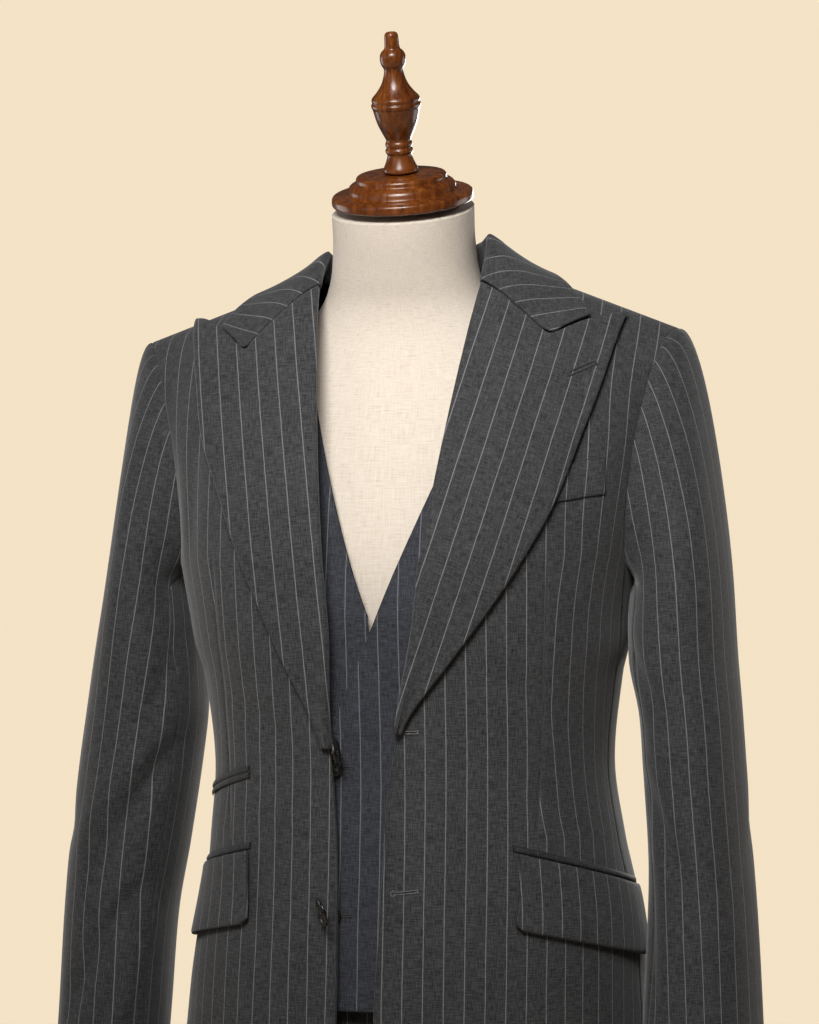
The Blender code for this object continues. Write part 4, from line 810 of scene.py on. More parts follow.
def shell_faces(height, width):
    """Quads of both faces and of a two-step rim between them, for a grid of that size."""
    index = np.arange(height * width).reshape(height, width)
    outer = np.stack((index[:-1, :-1], index[:-1, 1:], index[1:, 1:], index[1:, :-1]), -1)
    outer = outer.reshape(-1, 4)
    total = height * width
    rim = np.concatenate((index[0], index[1:, -1], index[-1, -2::-1], index[-2:0:-1, 0]))
    middle = 2 * total + np.arange(len(rim))
    after, middle_after = np.roll(rim, -1), np.roll(middle, -1)
    rim_faces = np.concatenate((np.stack((after, rim, middle, middle_after), -1),
                                np.stack((middle_after, middle, rim + total, after + total), -1)))
    return np.concatenate((outer, outer[:, ::-1] + total, rim_faces)), rim


def add_object(name, data):
    thing = bpy.data.objects.new(name, data)
    bpy.context.scene.collection.objects.link(thing)
    return thing


def make_mesh(name, points, faces, maps, material):
    """A smooth mesh of quads. maps: name of each UV map and its (u, v) for each point."""
    mesh = bpy.data.meshes.new(name)
    mesh.vertices.add(len(points))
    mesh.vertices.foreach_set("co", points.astype(np.float32).ravel())
    mesh.loops.add(faces.size)
    mesh.loops.foreach_set("vertex_index", faces.astype(np.int32).ravel())
    mesh.polygons.add(len(faces))
    mesh.polygons.foreach_set("loop_start", np.arange(0, faces.size, 4, dtype=np.int32))
    mesh.update(calc_edges=True)
    for map_name, (u, v) in maps.items():
        layer = mesh.uv_layers.new(name=map_name)
        values = np.stack((u[faces.ravel()], v[faces.ravel()]), axis=-1)
        layer.data.foreach_set("uv", values.astype(np.float32).ravel())
    mesh.materials.append(material)
    mesh.shade_smooth()
    return add_object(name, mesh)


def settle(thing, node):
    """The piece rides on the body and stands for the node, whose own mesh it hides."""
    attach(thing, "root")
    if node:
        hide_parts(node)
    return thing


def cloth_piece(node, points, normals, creases, cut, free, material, wall):
    """A closed shell from a grid of points: rows from the bottom, columns from the first edge.

    cut is the place of each point in the flat cut, for the stripes. free names the finished
    edges, which are rolled; the others are seams, where the cloth dips.
    """
    height, width = points.shape[:2]
    along, away = edge_map(points, free)
    seams = [name for name in ("first", "last", "bottom", "top") if name not in free]
    seam_away = edge_map(points, seams)[1]
    roll = np.exp(-(away / EDGE_ROLL_WIDTH) ** 2) * EDGE_ROLL * wall
    dip = np.exp(-(seam_away / SEAM_WIDTH) ** 2) * SEAM_DIP
    outer = points + normals * column_of(creases - roll - dip)
    inner = points + normals * column_of(creases + roll - wall)
    faces, rim = shell_faces(height, width)
    flat_outer, flat_inner = outer.reshape(-1, 3), inner.reshape(-1, 3)
    bulge = rim_bulge(points, free, rim) * wall * RIM_BULGE
    middle = (flat_outer[rim] + flat_inner[rim]) / 2 + bulge
    everything = np.concatenate((flat_outer, flat_inner, middle))
    if np.dot(np.cross(outer[0, 1] - outer[0, 0], outer[1, 0] - outer[0, 0]), normals[0, 0]) < 0:
        faces = faces[:, ::-1]
    maps = {}
    for name, (u, v) in (("cut", cut), ("edge", (along, away))):
        u, v = u.ravel(), v.ravel()
        maps[name] = (np.concatenate((u, u, u[rim])), np.concatenate((v, v, v[rim])))
    thing = settle(make_mesh(node + "_cloth", everything, faces, maps, material), node)
    row, column = run_along(points, 1), run_along(points, 0)
    corners = np.cross(points[1:, 1:] - points[:-1, :-1], points[1:, :-1] - points[:-1, 1:])
    area = float(np.linalg.norm(corners, axis=-1).sum() / 2)
    flat = (float(row[:, -1].max()), float(column[-1].max()))
    area = max(area, LEAST_AREA * flat[0] * flat[1])
    return thing


def rim_bulge(points, free, rim):
    """Outward direction at the rim's points on finished edges, nothing on seams."""
    out = np.zeros_like(points)
    for name in free:
        edge, inside = (0, 1) if name in ("first", "bottom") else (-1, -2)
        if name in ("first", "last"):
            out[:, edge] += unit(points[:, edge] - points[:, inside])
        else:
            out[edge] += unit(points[edge] - points[inside])
    return out.reshape(-1, 3)[rim]


def panel(node, surface, side, columns, rows, creases, start, free, material, wall,
          shift=None, grain=None, column=0, row=None):
    """A shell on a surface of the solid model.

    start: place of that column in the cut. shift: cloth that a dart takes out.
    grain: the stripes' direction, upright if it isn't given.
    """
    if np.ndim(columns) == 1:
        columns = np.broadcast_to(columns, (len(rows), len(columns)))
    u, v = columns, np.broadcast_to(column_of(rows), columns.shape)
    points = surface(u, v)
    normals = normal_of(surface, u, v, side)
    across, along = grain_cut(points, normals, (grain or upright_grain)(points), column, row)
    turned = -side if grain is None else 1.0
    across = across * turned + start
    if shift is not None:
        across = across + shift(points)
    return cloth_piece(node, points, normals, creases(points, u, v), (across, along), free,
                       material, wall)


def upright_grain(points):
    """The stripes stand upright, and run over the shoulder seam from the front and the back."""
    way = -np.sign(points[..., 1].mean())
    lean = SHOULDER_LEAN * smoothstep(*SHOULDER_RISE, points[..., 2]) * way
    return stack(0.0 * lean, lean, 1.0 + 0.0 * lean)


def smooth_rows(controls, finer):
    """Rows of control points, read at finer steps on smooth curves through them."""
    count = controls.shape[1]
    places = np.linspace(0.0, count - 1.0, (count - 1) * finer + 1)
    index = np.minimum(places.astype(int), count - 2)
    slopes = np.gradient(controls, axis=1)
    u = (places - index)[None, :, None]
    return hermite(controls[:, index], slopes[:, index], controls[:, index + 1],
                   slopes[:, index + 1], u)


# ---- jacket pieces -------------------------------------------------------------------------
def dart_x(height):
    (top_x, top), (low_x, low) = DART_TOP, DART_BOTTOM
    return mix(low_x, top_x, (height - low) / (top - low))


def dart_profile(height):
    top, low = DART_TOP[1], DART_BOTTOM[1]
    u = np.clip((height - low) / (top - low), 0.0, 1.0)
    return np.sin(math.pi * u) ** 0.8


def dart_shift(side):
    """Cloth that the dart takes out of the stripes beyond it."""
    def shift(points):
        beyond = side * points[..., 0] - dart_x(points[..., 2])
        return DART_TAKE * dart_profile(points[..., 2]) * smoothstep(-0.0006, 0.0006, beyond)
    return shift


def dart_columns(side, rows):
    """Columns of a front, of which some run close beside the dart all the way."""
    heights = np.linspace(DART_BOTTOM[1], DART_TOP[1], 9)
    at_s, at_t = find_on_front(side, dart_x(heights), heights)
    middle = float(at_s.mean())
    beside = middle + np.array((-0.020, -0.010, -0.0052, -0.0024, 0.0, 0.0024, 0.0052, 0.010,
                                0.020))
    columns = stations(44, 0.24, extra=beside)
    columns[-1] -= FRONT_SEAM_SHARE
    place = np.interp(rows, at_t, at_s)[:, None]
    inner = columns * place / middle
    outer = 1.0 - (1.0 - columns) * (1.0 - place) / (1.0 - middle)
    return np.where(columns < middle, inner, outer)


def front_creases(side):
    def creases(points, s, t):
        beyond = side * points[..., 0] - dart_x(points[..., 2])
        inside = (smoothstep(DART_BOTTOM[1] - 0.004, DART_BOTTOM[1] + 0.01, points[..., 2])
                  * smoothstep(DART_TOP[1] + 0.004, DART_TOP[1] - 0.01, points[..., 2]))
        dart = -DART_DEPTH * inside * np.exp(-(beyond / DART_WIDTH) ** 2)
        return body_creases(points) + dart
    return creases


def make_jacket_body(cloth):
    low_rows = stations(62, 0.525, low=True, high=False)
    high_rows = 1.0 + stations(30, 0.26, low=False, high=True)[1:]
    rows = np.concatenate((low_rows, high_rows))
    for side, label in SIDES:
        rows_front = rows.copy()
        rows_front[-1] -= SHOULDER_SHARE
        start = float(front_point(JACKET, side, 0.0, 0.0)[0]) * side + STRIPE_START[side]
        panel(f"jacket_front_{label}", lambda s, t, side=side: front_point(JACKET, side, s, t),
              side, dart_columns(side, rows_front), rows_front, front_creases(side), start,
              ("first", "bottom"), cloth, JACKET_CLOTH,
              shift=dart_shift(side))
        columns = within_seams(stations(18, 0.10), SIDE_SEAM_SHARE)
        side_rows = stations(70, 0.525)
        panel(f"jacket_side_{label}", lambda s, t, side=side: side_point(JACKET, side, s, t),
              side, columns, side_rows, body_creases, 0.004, ("bottom",), cloth,
              JACKET_CLOTH)
        columns = within_seams(stations(34, 0.19), SEAM_SHARE)
        panel(f"jacket_back_{label}", lambda s, t, side=side: back_point(JACKET, side, s, t),
              -side, columns, rows_front, body_creases, 0.006, ("bottom",), cloth,
              JACKET_CLOTH)


def sleeve_creases(side):
    def creases(points, angle, v):
        around = np.radians(angle) * SLEEVE_RADIUS
        depth = crease_depth(around, points[..., 2], SLEEVE_CREASES[side],
                             2 * math.pi * SLEEVE_RADIUS)
        return depth * smoothstep(0.10, 0.45, v)
    return creases


def sleeve_grain(line):
    """The stripes' direction at each height: along the sleeve's middle line, over the head."""
    def grain_at(points):
        crest = int(np.argmax(line[:, 2]))
        heights = line[crest:, 2][::-1]
        tangents = unit(np.gradient(line, axis=0))[crest:][::-1]
        return stack(*(np.interp(points[..., 2], heights, tangents[:, i]) for i in range(3)))
    return grain_at


def make_sleeves(cloth):
    rows = np.concatenate((stations(28, 0.22, high=False), 1.0 + stations(58, 0.43, low=False)[1:]))
    low, high = SLEEVE_BACK_SEAM - 360.0 + SLEEVE_SEAM_GAP, SLEEVE_FRONT_SEAM - SLEEVE_SEAM_GAP
    top = mix(low, high, stations(54, 0.20))
    under = mix(SLEEVE_FRONT_SEAM + SLEEVE_SEAM_GAP, SLEEVE_BACK_SEAM - SLEEVE_SEAM_GAP,
                stations(42, 0.15))
    for side, label in SIDES:
        def surface(angle, v, side=side):
            return sleeve_point(side, angle, v)

        ring = int(np.argmin(np.abs(rows - 1.0)))
        for name, angles, middle, start in (
                ("sleeve_top", top, TOP_MIDDLE, 0), ("sleeve_under", under, UNDER_MIDDLE, ring)):
            centre = int(np.argmin(np.abs(angles - middle)))
            panel(f"{name}_{label}", surface, side, angles, rows, sleeve_creases(side),
                  SLEEVE_STRIPE, ("top",), cloth, LIGHT_CLOTH,
                  grain=lambda points, centre=centre, start=start:
                  sleeve_grain(points[start:, centre])(points), column=centre, row=ring)


def broken_line(start, middle, end, share):
    """Places on the line from start to middle (share 0.5) to end (share 1)."""
    share = np.asarray(share, float)
    first, second = np.minimum(share / 0.5, 1.0), np.maximum(share / 0.5 - 1.0, 0.0)
    return tuple(start[i] + (middle[i] - start[i]) * first + (end[i] - middle[i]) * second
                 for i in (0, 1))


def lapel_row(side, u, notch, top, roll_lookup):
    surface = jacket_front(side)
    edge_height = mix(LAPEL_BOTTOM[side], LAPEL_EDGE[-1][0], u)
    edge_x = smooth_value(LAPEL_EDGE, edge_height, edge_column(side))
    edge = [float(value) for value in find_on_front(side, edge_x, edge_height)]
    roll = (0.0, float(roll_lookup(mix(LAPEL_BOTTOM[side], GORGE_TOP, u))))
    dip = float(smoothstep(0.35, 1.0, u))
    middle = [(roll[i] + edge[i]) / 2 + dip * (notch[i] - top[i]) for i in (0, 1)]
    start = surface(0.0, roll[1])
    normal = normal_of(surface, 0.003, roll[1], side)
    outward = unit(surface(0.02, roll[1]) - start)
    roundness = 1.0 + LAPEL_BELLY * (1.0 - float(smoothstep(0.10, 0.60, u)))
    fold = [start + outward * across + normal * out * roundness for across, out in FOLD]
    shares = np.linspace(0.10, 1.0, LAPEL_CONTROLS)
    s, t = broken_line(roll, middle, edge, shares)
    stand = LAPEL_STAND * mix(roundness, 1.0, smoothstep(0.0, 0.5, shares))
    leaf = surface(s, t) + normal_of(surface, s, t, side) * column_of(stand)
    return np.concatenate((np.array(fold), leaf))


def make_lapels(cloth):
    for side, label in SIDES:
        notch = [float(value) for value in find_on_front(side, *NOTCH[side])]
        peak = find_on_front(side, LAPEL_EDGE[-1][edge_column(side)], LAPEL_EDGE[-1][0])
        top = [float(roll_start + end) / 2 for roll_start, end in
               zip((0.0, roll_t(side, GORGE_TOP)), peak)]
        rows = [lapel_row(side, u, notch, top, lambda height, side=side: roll_t(side, height))
                for u in stations(84, 0.36)]
        points = smooth_rows(np.array(rows), 3)
        normals = grid_normals(points, side)
        across_way = unit(np.array(LAPEL_ACROSS[side]))
        along_way = np.cross(across_way, LAPEL_FACING)
        cut = (points @ across_way + LAPEL_STRIPE[side], points @ along_way)
        cloth_piece(f"lapel_{label}", points, normals, body_creases(points), cut,
                    ("last", "top", "bottom"), cloth, JACKET_CLOTH)


def collar_row(side, share):
    """One row of the collar, from the stand over the fold to the leaf's edge."""
    on_front = share >= 0.5
    surface = jacket_front(side) if on_front else jacket_back(side)
    turned_side = side if on_front else -side
    neck, tip = JACKET["neck"][side], JACKET["tip"][side]
    shoulder_share = (COLLAR_EDGE_X - neck[0]) / (tip[0] - neck[0])
    leaves = np.linspace(0.08, 1.0, COLLAR_CONTROLS)
    if on_front:
        base, (s, t) = collar_front_places(side, share, shoulder_share, leaves)
    else:
        base, (s, t) = collar_back_places(side, share, shoulder_share, leaves, surface)
    start = surface(*base)
    normal = normal_of(surface, base[0] + 0.004, base[1] - 0.004, turned_side)
    if on_front:
        outward = unit(surface(0.02, base[1]) - start)
    else:
        outward = unit(np.cross(normal, surface(base[0] + 0.01, base[1]) - start)) * side
    up, inward = smooth_value(COLLAR_FOLD, share, 1), smooth_value(COLLAR_FOLD, share, 2)
    lift = np.array((-side * inward, 0.0, up))
    roll = [start + outward * across + normal * out + lift * part
            for (across, out), part in zip(COLLAR_ROLL, (0.0, 0.80, 1.02))]
    leaf = raised(surface, s, t - 0.003, turned_side, COLLAR_STAND)
    leaf = leaf + lift * column_of((1.0 - leaves) ** COLLAR_FALL)
    return np.concatenate((np.array(roll), leaf))


def collar_back_places(side, share, shoulder_share, leaves, surface):
    neck, tip = JACKET["neck"][side], JACKET["tip"][side]
    turn = math.pi * share
    base = (JACKET["neckline_share"] * share / 0.5, 2.0)
    start = surface(*base)
    seam_height = mix(neck[2], tip[2], shoulder_share)
    drop = (seam_height - COLLAR_EDGE_BACK) * math.cos(turn) ** COLLAR_EDGE_POWER
    edge_x, edge_height = COLLAR_EDGE_X * math.sin(turn), seam_height - drop
    return base, find_on(surface, side, mix(side * start[0], edge_x, leaves),
                         mix(start[2], edge_height, leaves), (max(base[0], 0.05), 1.95))


def collar_front_places(side, share, shoulder_share, leaves):
    corner = [float(value) for value in find_on_front(side, *COLLAR_CORNER[side])]
    notch = [float(value) for value in find_on_front(side, *NOTCH[side])]
    gorge = (0.0, float(roll_t(side, GORGE_TOP)))
    u = (share - 0.5) / 0.5
    base = (0.0, mix(2.0, gorge[1], u))
    edge = (mix(shoulder_share, corner[0], u), mix(2.0, corner[1], u))
    dip = float(smoothstep(0.55, 1.0, share))
    middle = [(base[i] + edge[i]) / 2 + dip * (notch[i] - (gorge[i] + corner[i]) / 2)
              for i in (0, 1)]
    return base, broken_line(base, middle, edge, leaves)


def make_collar(cloth):
    shares = np.concatenate((np.linspace(0.0, 0.96, 62), (0.972, 0.98, 0.985)))
    left = [collar_row(LEFT, share) for share in shares]
    right = [collar_row(RIGHT, share) for share in shares[1:]]
    points = smooth_rows(np.array(left[::-1] + right), 3)
    normals = grid_normals(points, LEFT)
    share = np.concatenate((shares[::-1], shares[1:]))
    turned = np.concatenate((np.full(len(shares), LEFT), np.full(len(shares) - 1, RIGHT)))
    grain = np.stack([np.interp(share, *zip(*COLLAR_GRAIN[i])) for i in range(3)], -1)
    grain[:, 0] *= turned
    grain[:, 2] += np.where(turned == RIGHT, COLLAR_TILT * share, 0.0)
    across, along = grain_cut(points, normals, grain[:, None, :], points.shape[1] // 2)
    middle = across[len(shares) - 1].mean()
    cut = (across - middle + STRIPE_SPACING / 2, along)
    cloth_piece("collar", points, normals, np.zeros(points.shape[:2]), cut,
                ("last", "top", "bottom"), cloth, JACKET_CLOTH)


def girth_to(height, angle, side):
    """Length round the jacket from the middle to that angle, at that height."""
    turns = np.linspace(0.0, 1.0, 90)
    path = section_point(JACKET_BODY, column_of(height), column_of(angle) * turns, side)
    return np.linalg.norm(np.diff(path, axis=-2), axis=-1).sum(-1)


def hip_strip(node, side, angles, top, slope, depth, rows, stand, flare, wall, cloth, lean=None):
    """A jetting strip round the hip, or with a lean a flap, with finished edges."""
    start, end = angles
    across = mix(start, end, stations(54, 0.16))
    upward = stations(rows, depth)
    angle, u = np.meshgrid(across, upward)
    round_it = lean is not None
    corner = np.where(round_it, FLAP_CORNER * (1.0 - u) ** 2, 0.0)
    near = np.clip(1.0 - (angle - start) / CORNER_ANGLE, 0.0, 1.0)
    height = top - slope * (angle - start) - depth * (1.0 - u) + corner * near ** 2
    angle = angle - (lean or 0.0) * (1.0 - u) * (end - angle) / (end - start)
    points = section_point(JACKET_BODY, height, angle, side, stand + flare * (1.0 - u))
    normals = grid_normals(points, side)
    relief = body_creases(points)
    if not round_it:
        relief = relief + JET_ROUND * np.sin(math.pi * u)
    cut = (girth_to(height, angle, side) + STRIPE_START[side], height)
    free = ("first", "last", "bottom") if round_it else ("first", "last", "bottom", "top")
    return cloth_piece(node, points, normals, relief, cut, free, cloth,
                       wall)


def make_pockets(cloth, trim):
    """Hip flaps, and the jetting strips, which belong to the front that they are sewn on."""
    jets = {LEFT: [], RIGHT: []}
    for side, label in SIDES:
        start, top = FLAP_START[side], FLAP_TOP[side]
        end = FLAP_END[side]
        slope = FLAP_FALL[side] / (end - start)
        hip_strip(f"hip_flap_{label}", side, (start, end), top, slope, FLAP_DEPTH, 24,
                  FLAP_STAND, FLAP_FLARE, FLAP_WALL, cloth, FLAP_LEAN[side])
        jet_top = top + JET_HEIGHT + FLAP_TO_JET + slope * (start - JET_START[side])
        # the jets take the darker copy of the suiting, which is painted shade
        jets[side].append(hip_strip(
            f"hip_jet_{label}", side, (JET_START[side], end), jet_top, slope, JET_HEIGHT, 8,
            JET_STAND, 0.0, JET_WALL, trim))
    slope = TICKET_SLOPE / (TICKET_END - TICKET_START)
    for name, top in (("upper", TICKET_TOP), ("lower", TICKET_TOP - JET_HEIGHT - TICKET_SLIT)):
        jets[RIGHT].append(hip_strip(
            f"ticket_jet_{name}", RIGHT, (TICKET_START, TICKET_END), top, slope, JET_HEIGHT, 8,
            JET_STAND, 0.0, JET_WALL, trim))
    return jets


def make_welt(cloth):
    surface = jacket_front(LEFT)
    x, u = np.meshgrid(mix(WELT_INNER_X, WELT_OUTER_X, stations(44, 0.095)),
                       stations(14, WELT_HEIGHT))
    height = WELT_LOW - WELT_SLOPE * (WELT_OUTER_X - x) + WELT_HEIGHT * u
    s, t = find_on_front(LEFT, x, height)
    points = raised(surface, s, t, LEFT, WELT_STAND)
    across = front_cut_across(LEFT, s, t) + STRIPE_START[LEFT]
    cut = (across + dart_shift(LEFT)(points), height)
    cloth_piece("breast_welt", points, grid_normals(points, LEFT), body_creases(points), cut,
                ("first", "last", "bottom", "top"), cloth, WELT_WALL)


def front_cut_across(side, s, t):
    """Place in the front's cut, across the stripes, of points (s, t)."""
    steps_along = np.linspace(0.0, 1.0, 40)
    path = front_point(JACKET, side, column_of(s) * steps_along, column_of(t))
    length = np.linalg.norm(np.diff(path, axis=-2), axis=-1).sum(-1)
    return path[..., 0, 0] * side + length


# ---- waistcoat and trouser pieces ----------------------------------------------------------
def make_waistcoat(cloth):
    rows = np.concatenate((stations(48, 0.305, high=False), 1.0 + stations(30, 0.27)[1:]))
    rows[-1] -= WAISTCOAT_SHOULDER_SHARE
    for side, label in SIDES:
        columns = stations(46, 0.22) ** 1.25
        columns[-1] -= SEAM_SHARE
        start = float(front_point(WAISTCOAT, side, 0.0, 0.0)[0]) * side + WAISTCOAT_STRIPE
        panel(f"waistcoat_front_{label}",
              lambda s, t, side=side: front_point(WAISTCOAT, side, s, t), side, columns, rows,
              waistcoat_creases, start, ("first", "bottom"), cloth,
              LIGHT_CLOTH)

    def back(s, t):
        left = back_point(WAISTCOAT, LEFT, np.abs(s), t)
        right = back_point(WAISTCOAT, RIGHT, np.abs(s), t)
        return np.where(column_of(s) > 0, left, right)

    columns = mix(-1.0 + SEAM_SHARE, 1.0 - SEAM_SHARE, stations(84, 0.44))
    panel("waistcoat_back", back, RIGHT, columns, rows,
          waistcoat_creases, STRIPE_SPACING / 2, ("bottom",), cloth,
          LIGHT_CLOTH, column=len(columns) // 2)


def leg_creases(side, forward):
    def creases(points, s, v):
        angle = 180.0 - 180.0 * s * forward
        around = np.radians(angle) * LEG_RADIUS
        return crease_depth(around, points[..., 2], LEG_CREASES[side], 2 * math.pi * LEG_RADIUS)
    return creases


def make_trousers(cloth):
    top, hem = TROUSER_HEIGHTS[0], TROUSER_HEIGHTS[-1]
    rows = stations(96, top - hem) * (top - hem)
    for side, label in SIDES:
        for forward, name in ((1, "front"), (-1, "back")):
            def surface(s, v, side=side, forward=forward):
                return trouser_point(side, forward, s, top - v)

            columns = within_seams(stations(30, 0.22, extra=np.arange(0.46, 0.541, 0.008)),
                                   LEG_SEAM_SHARE)
            panel(f"trouser_{name}_{label}", surface, -side * forward, columns, rows,
                  leg_creases(side, forward), 0.0, ("top",), cloth,
                  LIGHT_CLOTH,
                  column=int(np.argmin(np.abs(columns - 0.5))))
    make_waistband(cloth)


def make_waistband(cloth):
    angles = mix(0.2, 359.8, stations(110, 0.9))
    heights = mix(TROUSER_HEIGHTS[0] + 0.0004, WAISTBAND_TOP, stations(10, 0.04))
    angle, height = np.meshgrid(angles, heights)
    left = section_point(TROUSER_BODY, height, angle, LEFT, WAISTBAND_STAND)
    right = section_point(TROUSER_BODY, height, 360.0 - angle, RIGHT, WAISTBAND_STAND)
    points = np.where(column_of(angle) <= 180.0, left, right)
    cloth_piece("trouser_waistband", points, grid_normals(points, LEFT),
                np.zeros(points.shape[:2]), (run_along(points, 1), height),
                ("first", "last", "top"), cloth, WAISTBAND_WALL)


# ---- materials -----------------------------------------------------------------------------
YARN_SCALES = (1150.0, 125.0)   # noise per metre, across and along a worsted yarn
THREAD_SCALES = (1500.0, 60.0)  # the same for linen threads and the broken stripe
TWILL_LINES, LINEN_LINES = 5200.0, 6500.0       # radians per metre
STRIPE_WANDER = 0.0009          # how far a stripe strays from its straight line
STRIPE_FADE = (0.00028, 0.00022)                # outside and inside its edge
EDGE_SHADOW_LINE = (0.0011, 0.0002)    # from the finished edge, where its painted shadow line starts and ends
STITCH_LENGTH, STITCH_AWAY = 0.0042, 0.0026     # and its row's distance from the edge


class Look:
    """A material, with short ways to add its nodes."""

    def __init__(self, name, roughness, **constants):
        self.material = bpy.data.materials.new(name)
        self.material.use_nodes = True
        self.tree = self.material.node_tree
        self.shader = self.tree.nodes["Principled BSDF"]
        self.shader.inputs["Roughness"].default_value = roughness
        for socket, value in constants.items():
            self.shader.inputs[socket.replace("_", " ")].default_value = value

    def feed(self, socket, value):
        if isinstance(value, bpy.types.NodeSocket):
            self.tree.links.new(value, socket)
        else:
            socket.default_value = value

    def maths(self, operation, first, second=0.0, third=0.0):
        node = self.tree.nodes.new("ShaderNodeMath")
        node.operation = operation
        for socket, value in zip(node.inputs, (first, second, third)):
            self.feed(socket, value)
        return node.outputs[0]

    def times(self, first, second):
        return self.maths("MULTIPLY", first, second)

    def plus(self, first, second):
        return self.maths("ADD", first, second)

    def minus(self, first, second):
        return self.maths("SUBTRACT", first, second)

    def gap(self, first, second):
        """How far apart two values are."""
        return self.maths("ABSOLUTE", self.minus(first, second))

    def ramp(self, value, low, high, to_low=0.0, to_high=1.0):
        """Smooth change from to_low at low to to_high at high."""
        node = self.tree.nodes.new("ShaderNodeMapRange")
        node.interpolation_type = "SMOOTHSTEP"
        for name, given in (("Value", value), ("From Min", low), ("From Max", high),
                            ("To Min", to_low), ("To Max", to_high)):
            self.feed(node.inputs[name], given)
        return node.outputs[0]

    def place(self, uv_map):
        """The two coordinates of a UV map, in metres."""
        node = self.tree.nodes.new("ShaderNodeUVMap")
        node.uv_map = uv_map
        parts = self.tree.nodes.new("ShaderNodeSeparateXYZ")
        self.feed(parts.inputs[0], node.outputs[0])
        return parts.outputs[0], parts.outputs[1]

    def object_place(self):
        """The three coordinates in the object's own space, in metres."""
        node = self.tree.nodes.new("ShaderNodeTexCoord")
        parts = self.tree.nodes.new("ShaderNodeSeparateXYZ")
        self.feed(parts.inputs[0], node.outputs["Object"])
        return parts.outputs[:3]

    def noise(self, places, scales, third=0.0, detail=2.0, rough=0.5, distortion=0.0):
        """Noise at the places times their scales. third: where a flat cut lies in the noise."""
        join = self.tree.nodes.new("ShaderNodeCombineXYZ")
        scaled = [self.times(place, scale) for place, scale in zip(places, scales)]
        for socket, value in zip(join.inputs, (*scaled, third)):
            self.feed(socket, value)
        node = self.tree.nodes.new("ShaderNodeTexNoise")
        self.feed(node.inputs["Vector"], join.outputs[0])
        for name, value in (("Scale", 1.0), ("Detail", detail), ("Roughness", rough),
                            ("Distortion", distortion)):
            node.inputs[name].default_value = value
        return node.outputs[0]

    def colours(self, value, stops):
        node = self.tree.nodes.new("ShaderNodeValToRGB")
        self.feed(node.inputs[0], value)
        for index, (position, colour) in enumerate(stops):
            if index > 1:
                node.color_ramp.elements.new(position)
            node.color_ramp.elements[index].position = position
            node.color_ramp.elements[index].color = (*colour, 1.0)
        return node.outputs[0]

    def blend(self, share, first, second, kind="MIX"):
        node = self.tree.nodes.new("ShaderNodeMix")
        node.data_type, node.blend_type = "RGBA", kind
        self.feed(node.inputs["Factor"], share)
        for name, value in (("A", first), ("B", second)):
            socket = next(s for s in node.inputs if s.name == name and s.type == "RGBA")
            self.feed(socket, value if isinstance(value, bpy.types.NodeSocket) else (*value, 1.0))
        return next(s for s in node.outputs if s.type == "RGBA")

    def finish(self, colour, height, distance, strength=1.0, roughness=None):
        self.feed(self.shader.inputs["Base Color"], colour)
        if roughness is not None:
            self.feed(self.shader.inputs["Roughness"], roughness)
        bump = self.tree.nodes.new("ShaderNodeBump")
        bump.inputs["Strength"].default_value = strength
        bump.inputs["Distance"].default_value = distance
        self.feed(bump.inputs["Height"], height)
        self.feed(self.shader.inputs["Normal"], bump.outputs[0])
        return self.material


def worsted(name, dark, light, stripe, stripe_share, edge, edge_shadow_share):
    """Worsted cloth: mottled yarns, a twill line, a thin broken stripe, edge stitching, and a
    painted shadow line along the finished edges.
    """
    look = Look(name, 0.86, Sheen_Weight=0.18, Sheen_Roughness=0.45, Specular_IOR_Level=0.25)
    u, v = look.place("cut")
    along, away = look.place("edge")
    warp = look.noise((u, v), YARN_SCALES, 3.0, 1.0, 0.6)
    weft = look.noise((u, v), YARN_SCALES[::-1], 7.0, 1.0, 0.6)
    yarn = look.plus(look.times(warp, 0.5), look.times(weft, 0.5))
    broad = look.noise((u, v), (34.0, 26.0), 1.0)
    tone = look.plus(yarn, look.times(look.minus(broad, 0.5), 0.08))
    colour = look.colours(tone, ((0.36, dark), (0.64, light)))
    twill = look.maths("SINE", look.plus(look.times(u, TWILL_LINES), look.times(v, TWILL_LINES)))
    wander = look.noise((u, v), (20.0, 24.0), 5.0)
    shifted = look.plus(u, look.times(wander, STRIPE_WANDER))
    cell = look.maths("FRACT", look.plus(look.maths("DIVIDE", shifted, STRIPE_SPACING), 100.5))
    distance = look.times(look.gap(cell, 0.5), STRIPE_SPACING)
    line = look.ramp(distance, STRIPE_HALF + STRIPE_FADE[0], STRIPE_HALF - STRIPE_FADE[1])
    broken = look.noise((v, u), THREAD_SCALES, 2.0)
    line = look.times(line, look.ramp(broken, 0.28, 0.56, 0.45, 1.0))
    colour = look.blend(look.times(line, stripe_share), colour, stripe)
    # painted shadow line: close to each finished edge the colour goes over to the dark edge colour
    colour = look.blend(look.ramp(away, *EDGE_SHADOW_LINE, 0.0, edge_shadow_share), colour, edge)
    in_row = look.ramp(look.gap(away, STITCH_AWAY), 0.00042, 0.00018)
    stitch = look.maths("FRACT", look.maths("DIVIDE", along, STITCH_LENGTH))
    stitch = look.times(in_row, look.ramp(look.gap(stitch, 0.5), 0.26, 0.18))
    colour = look.blend(look.times(stitch, 0.35), colour, tuple(value * 0.45 for value in dark))
    height = look.plus(look.times(yarn, 1.1), look.times(twill, 0.10))
    height = look.plus(height, look.times(line, 0.18))
    height = look.minus(height, look.times(stitch, 1.2))
    return look.finish(colour, height, 0.00030, 0.75, look.ramp(yarn, 0.3, 0.7, 0.80, 0.92))


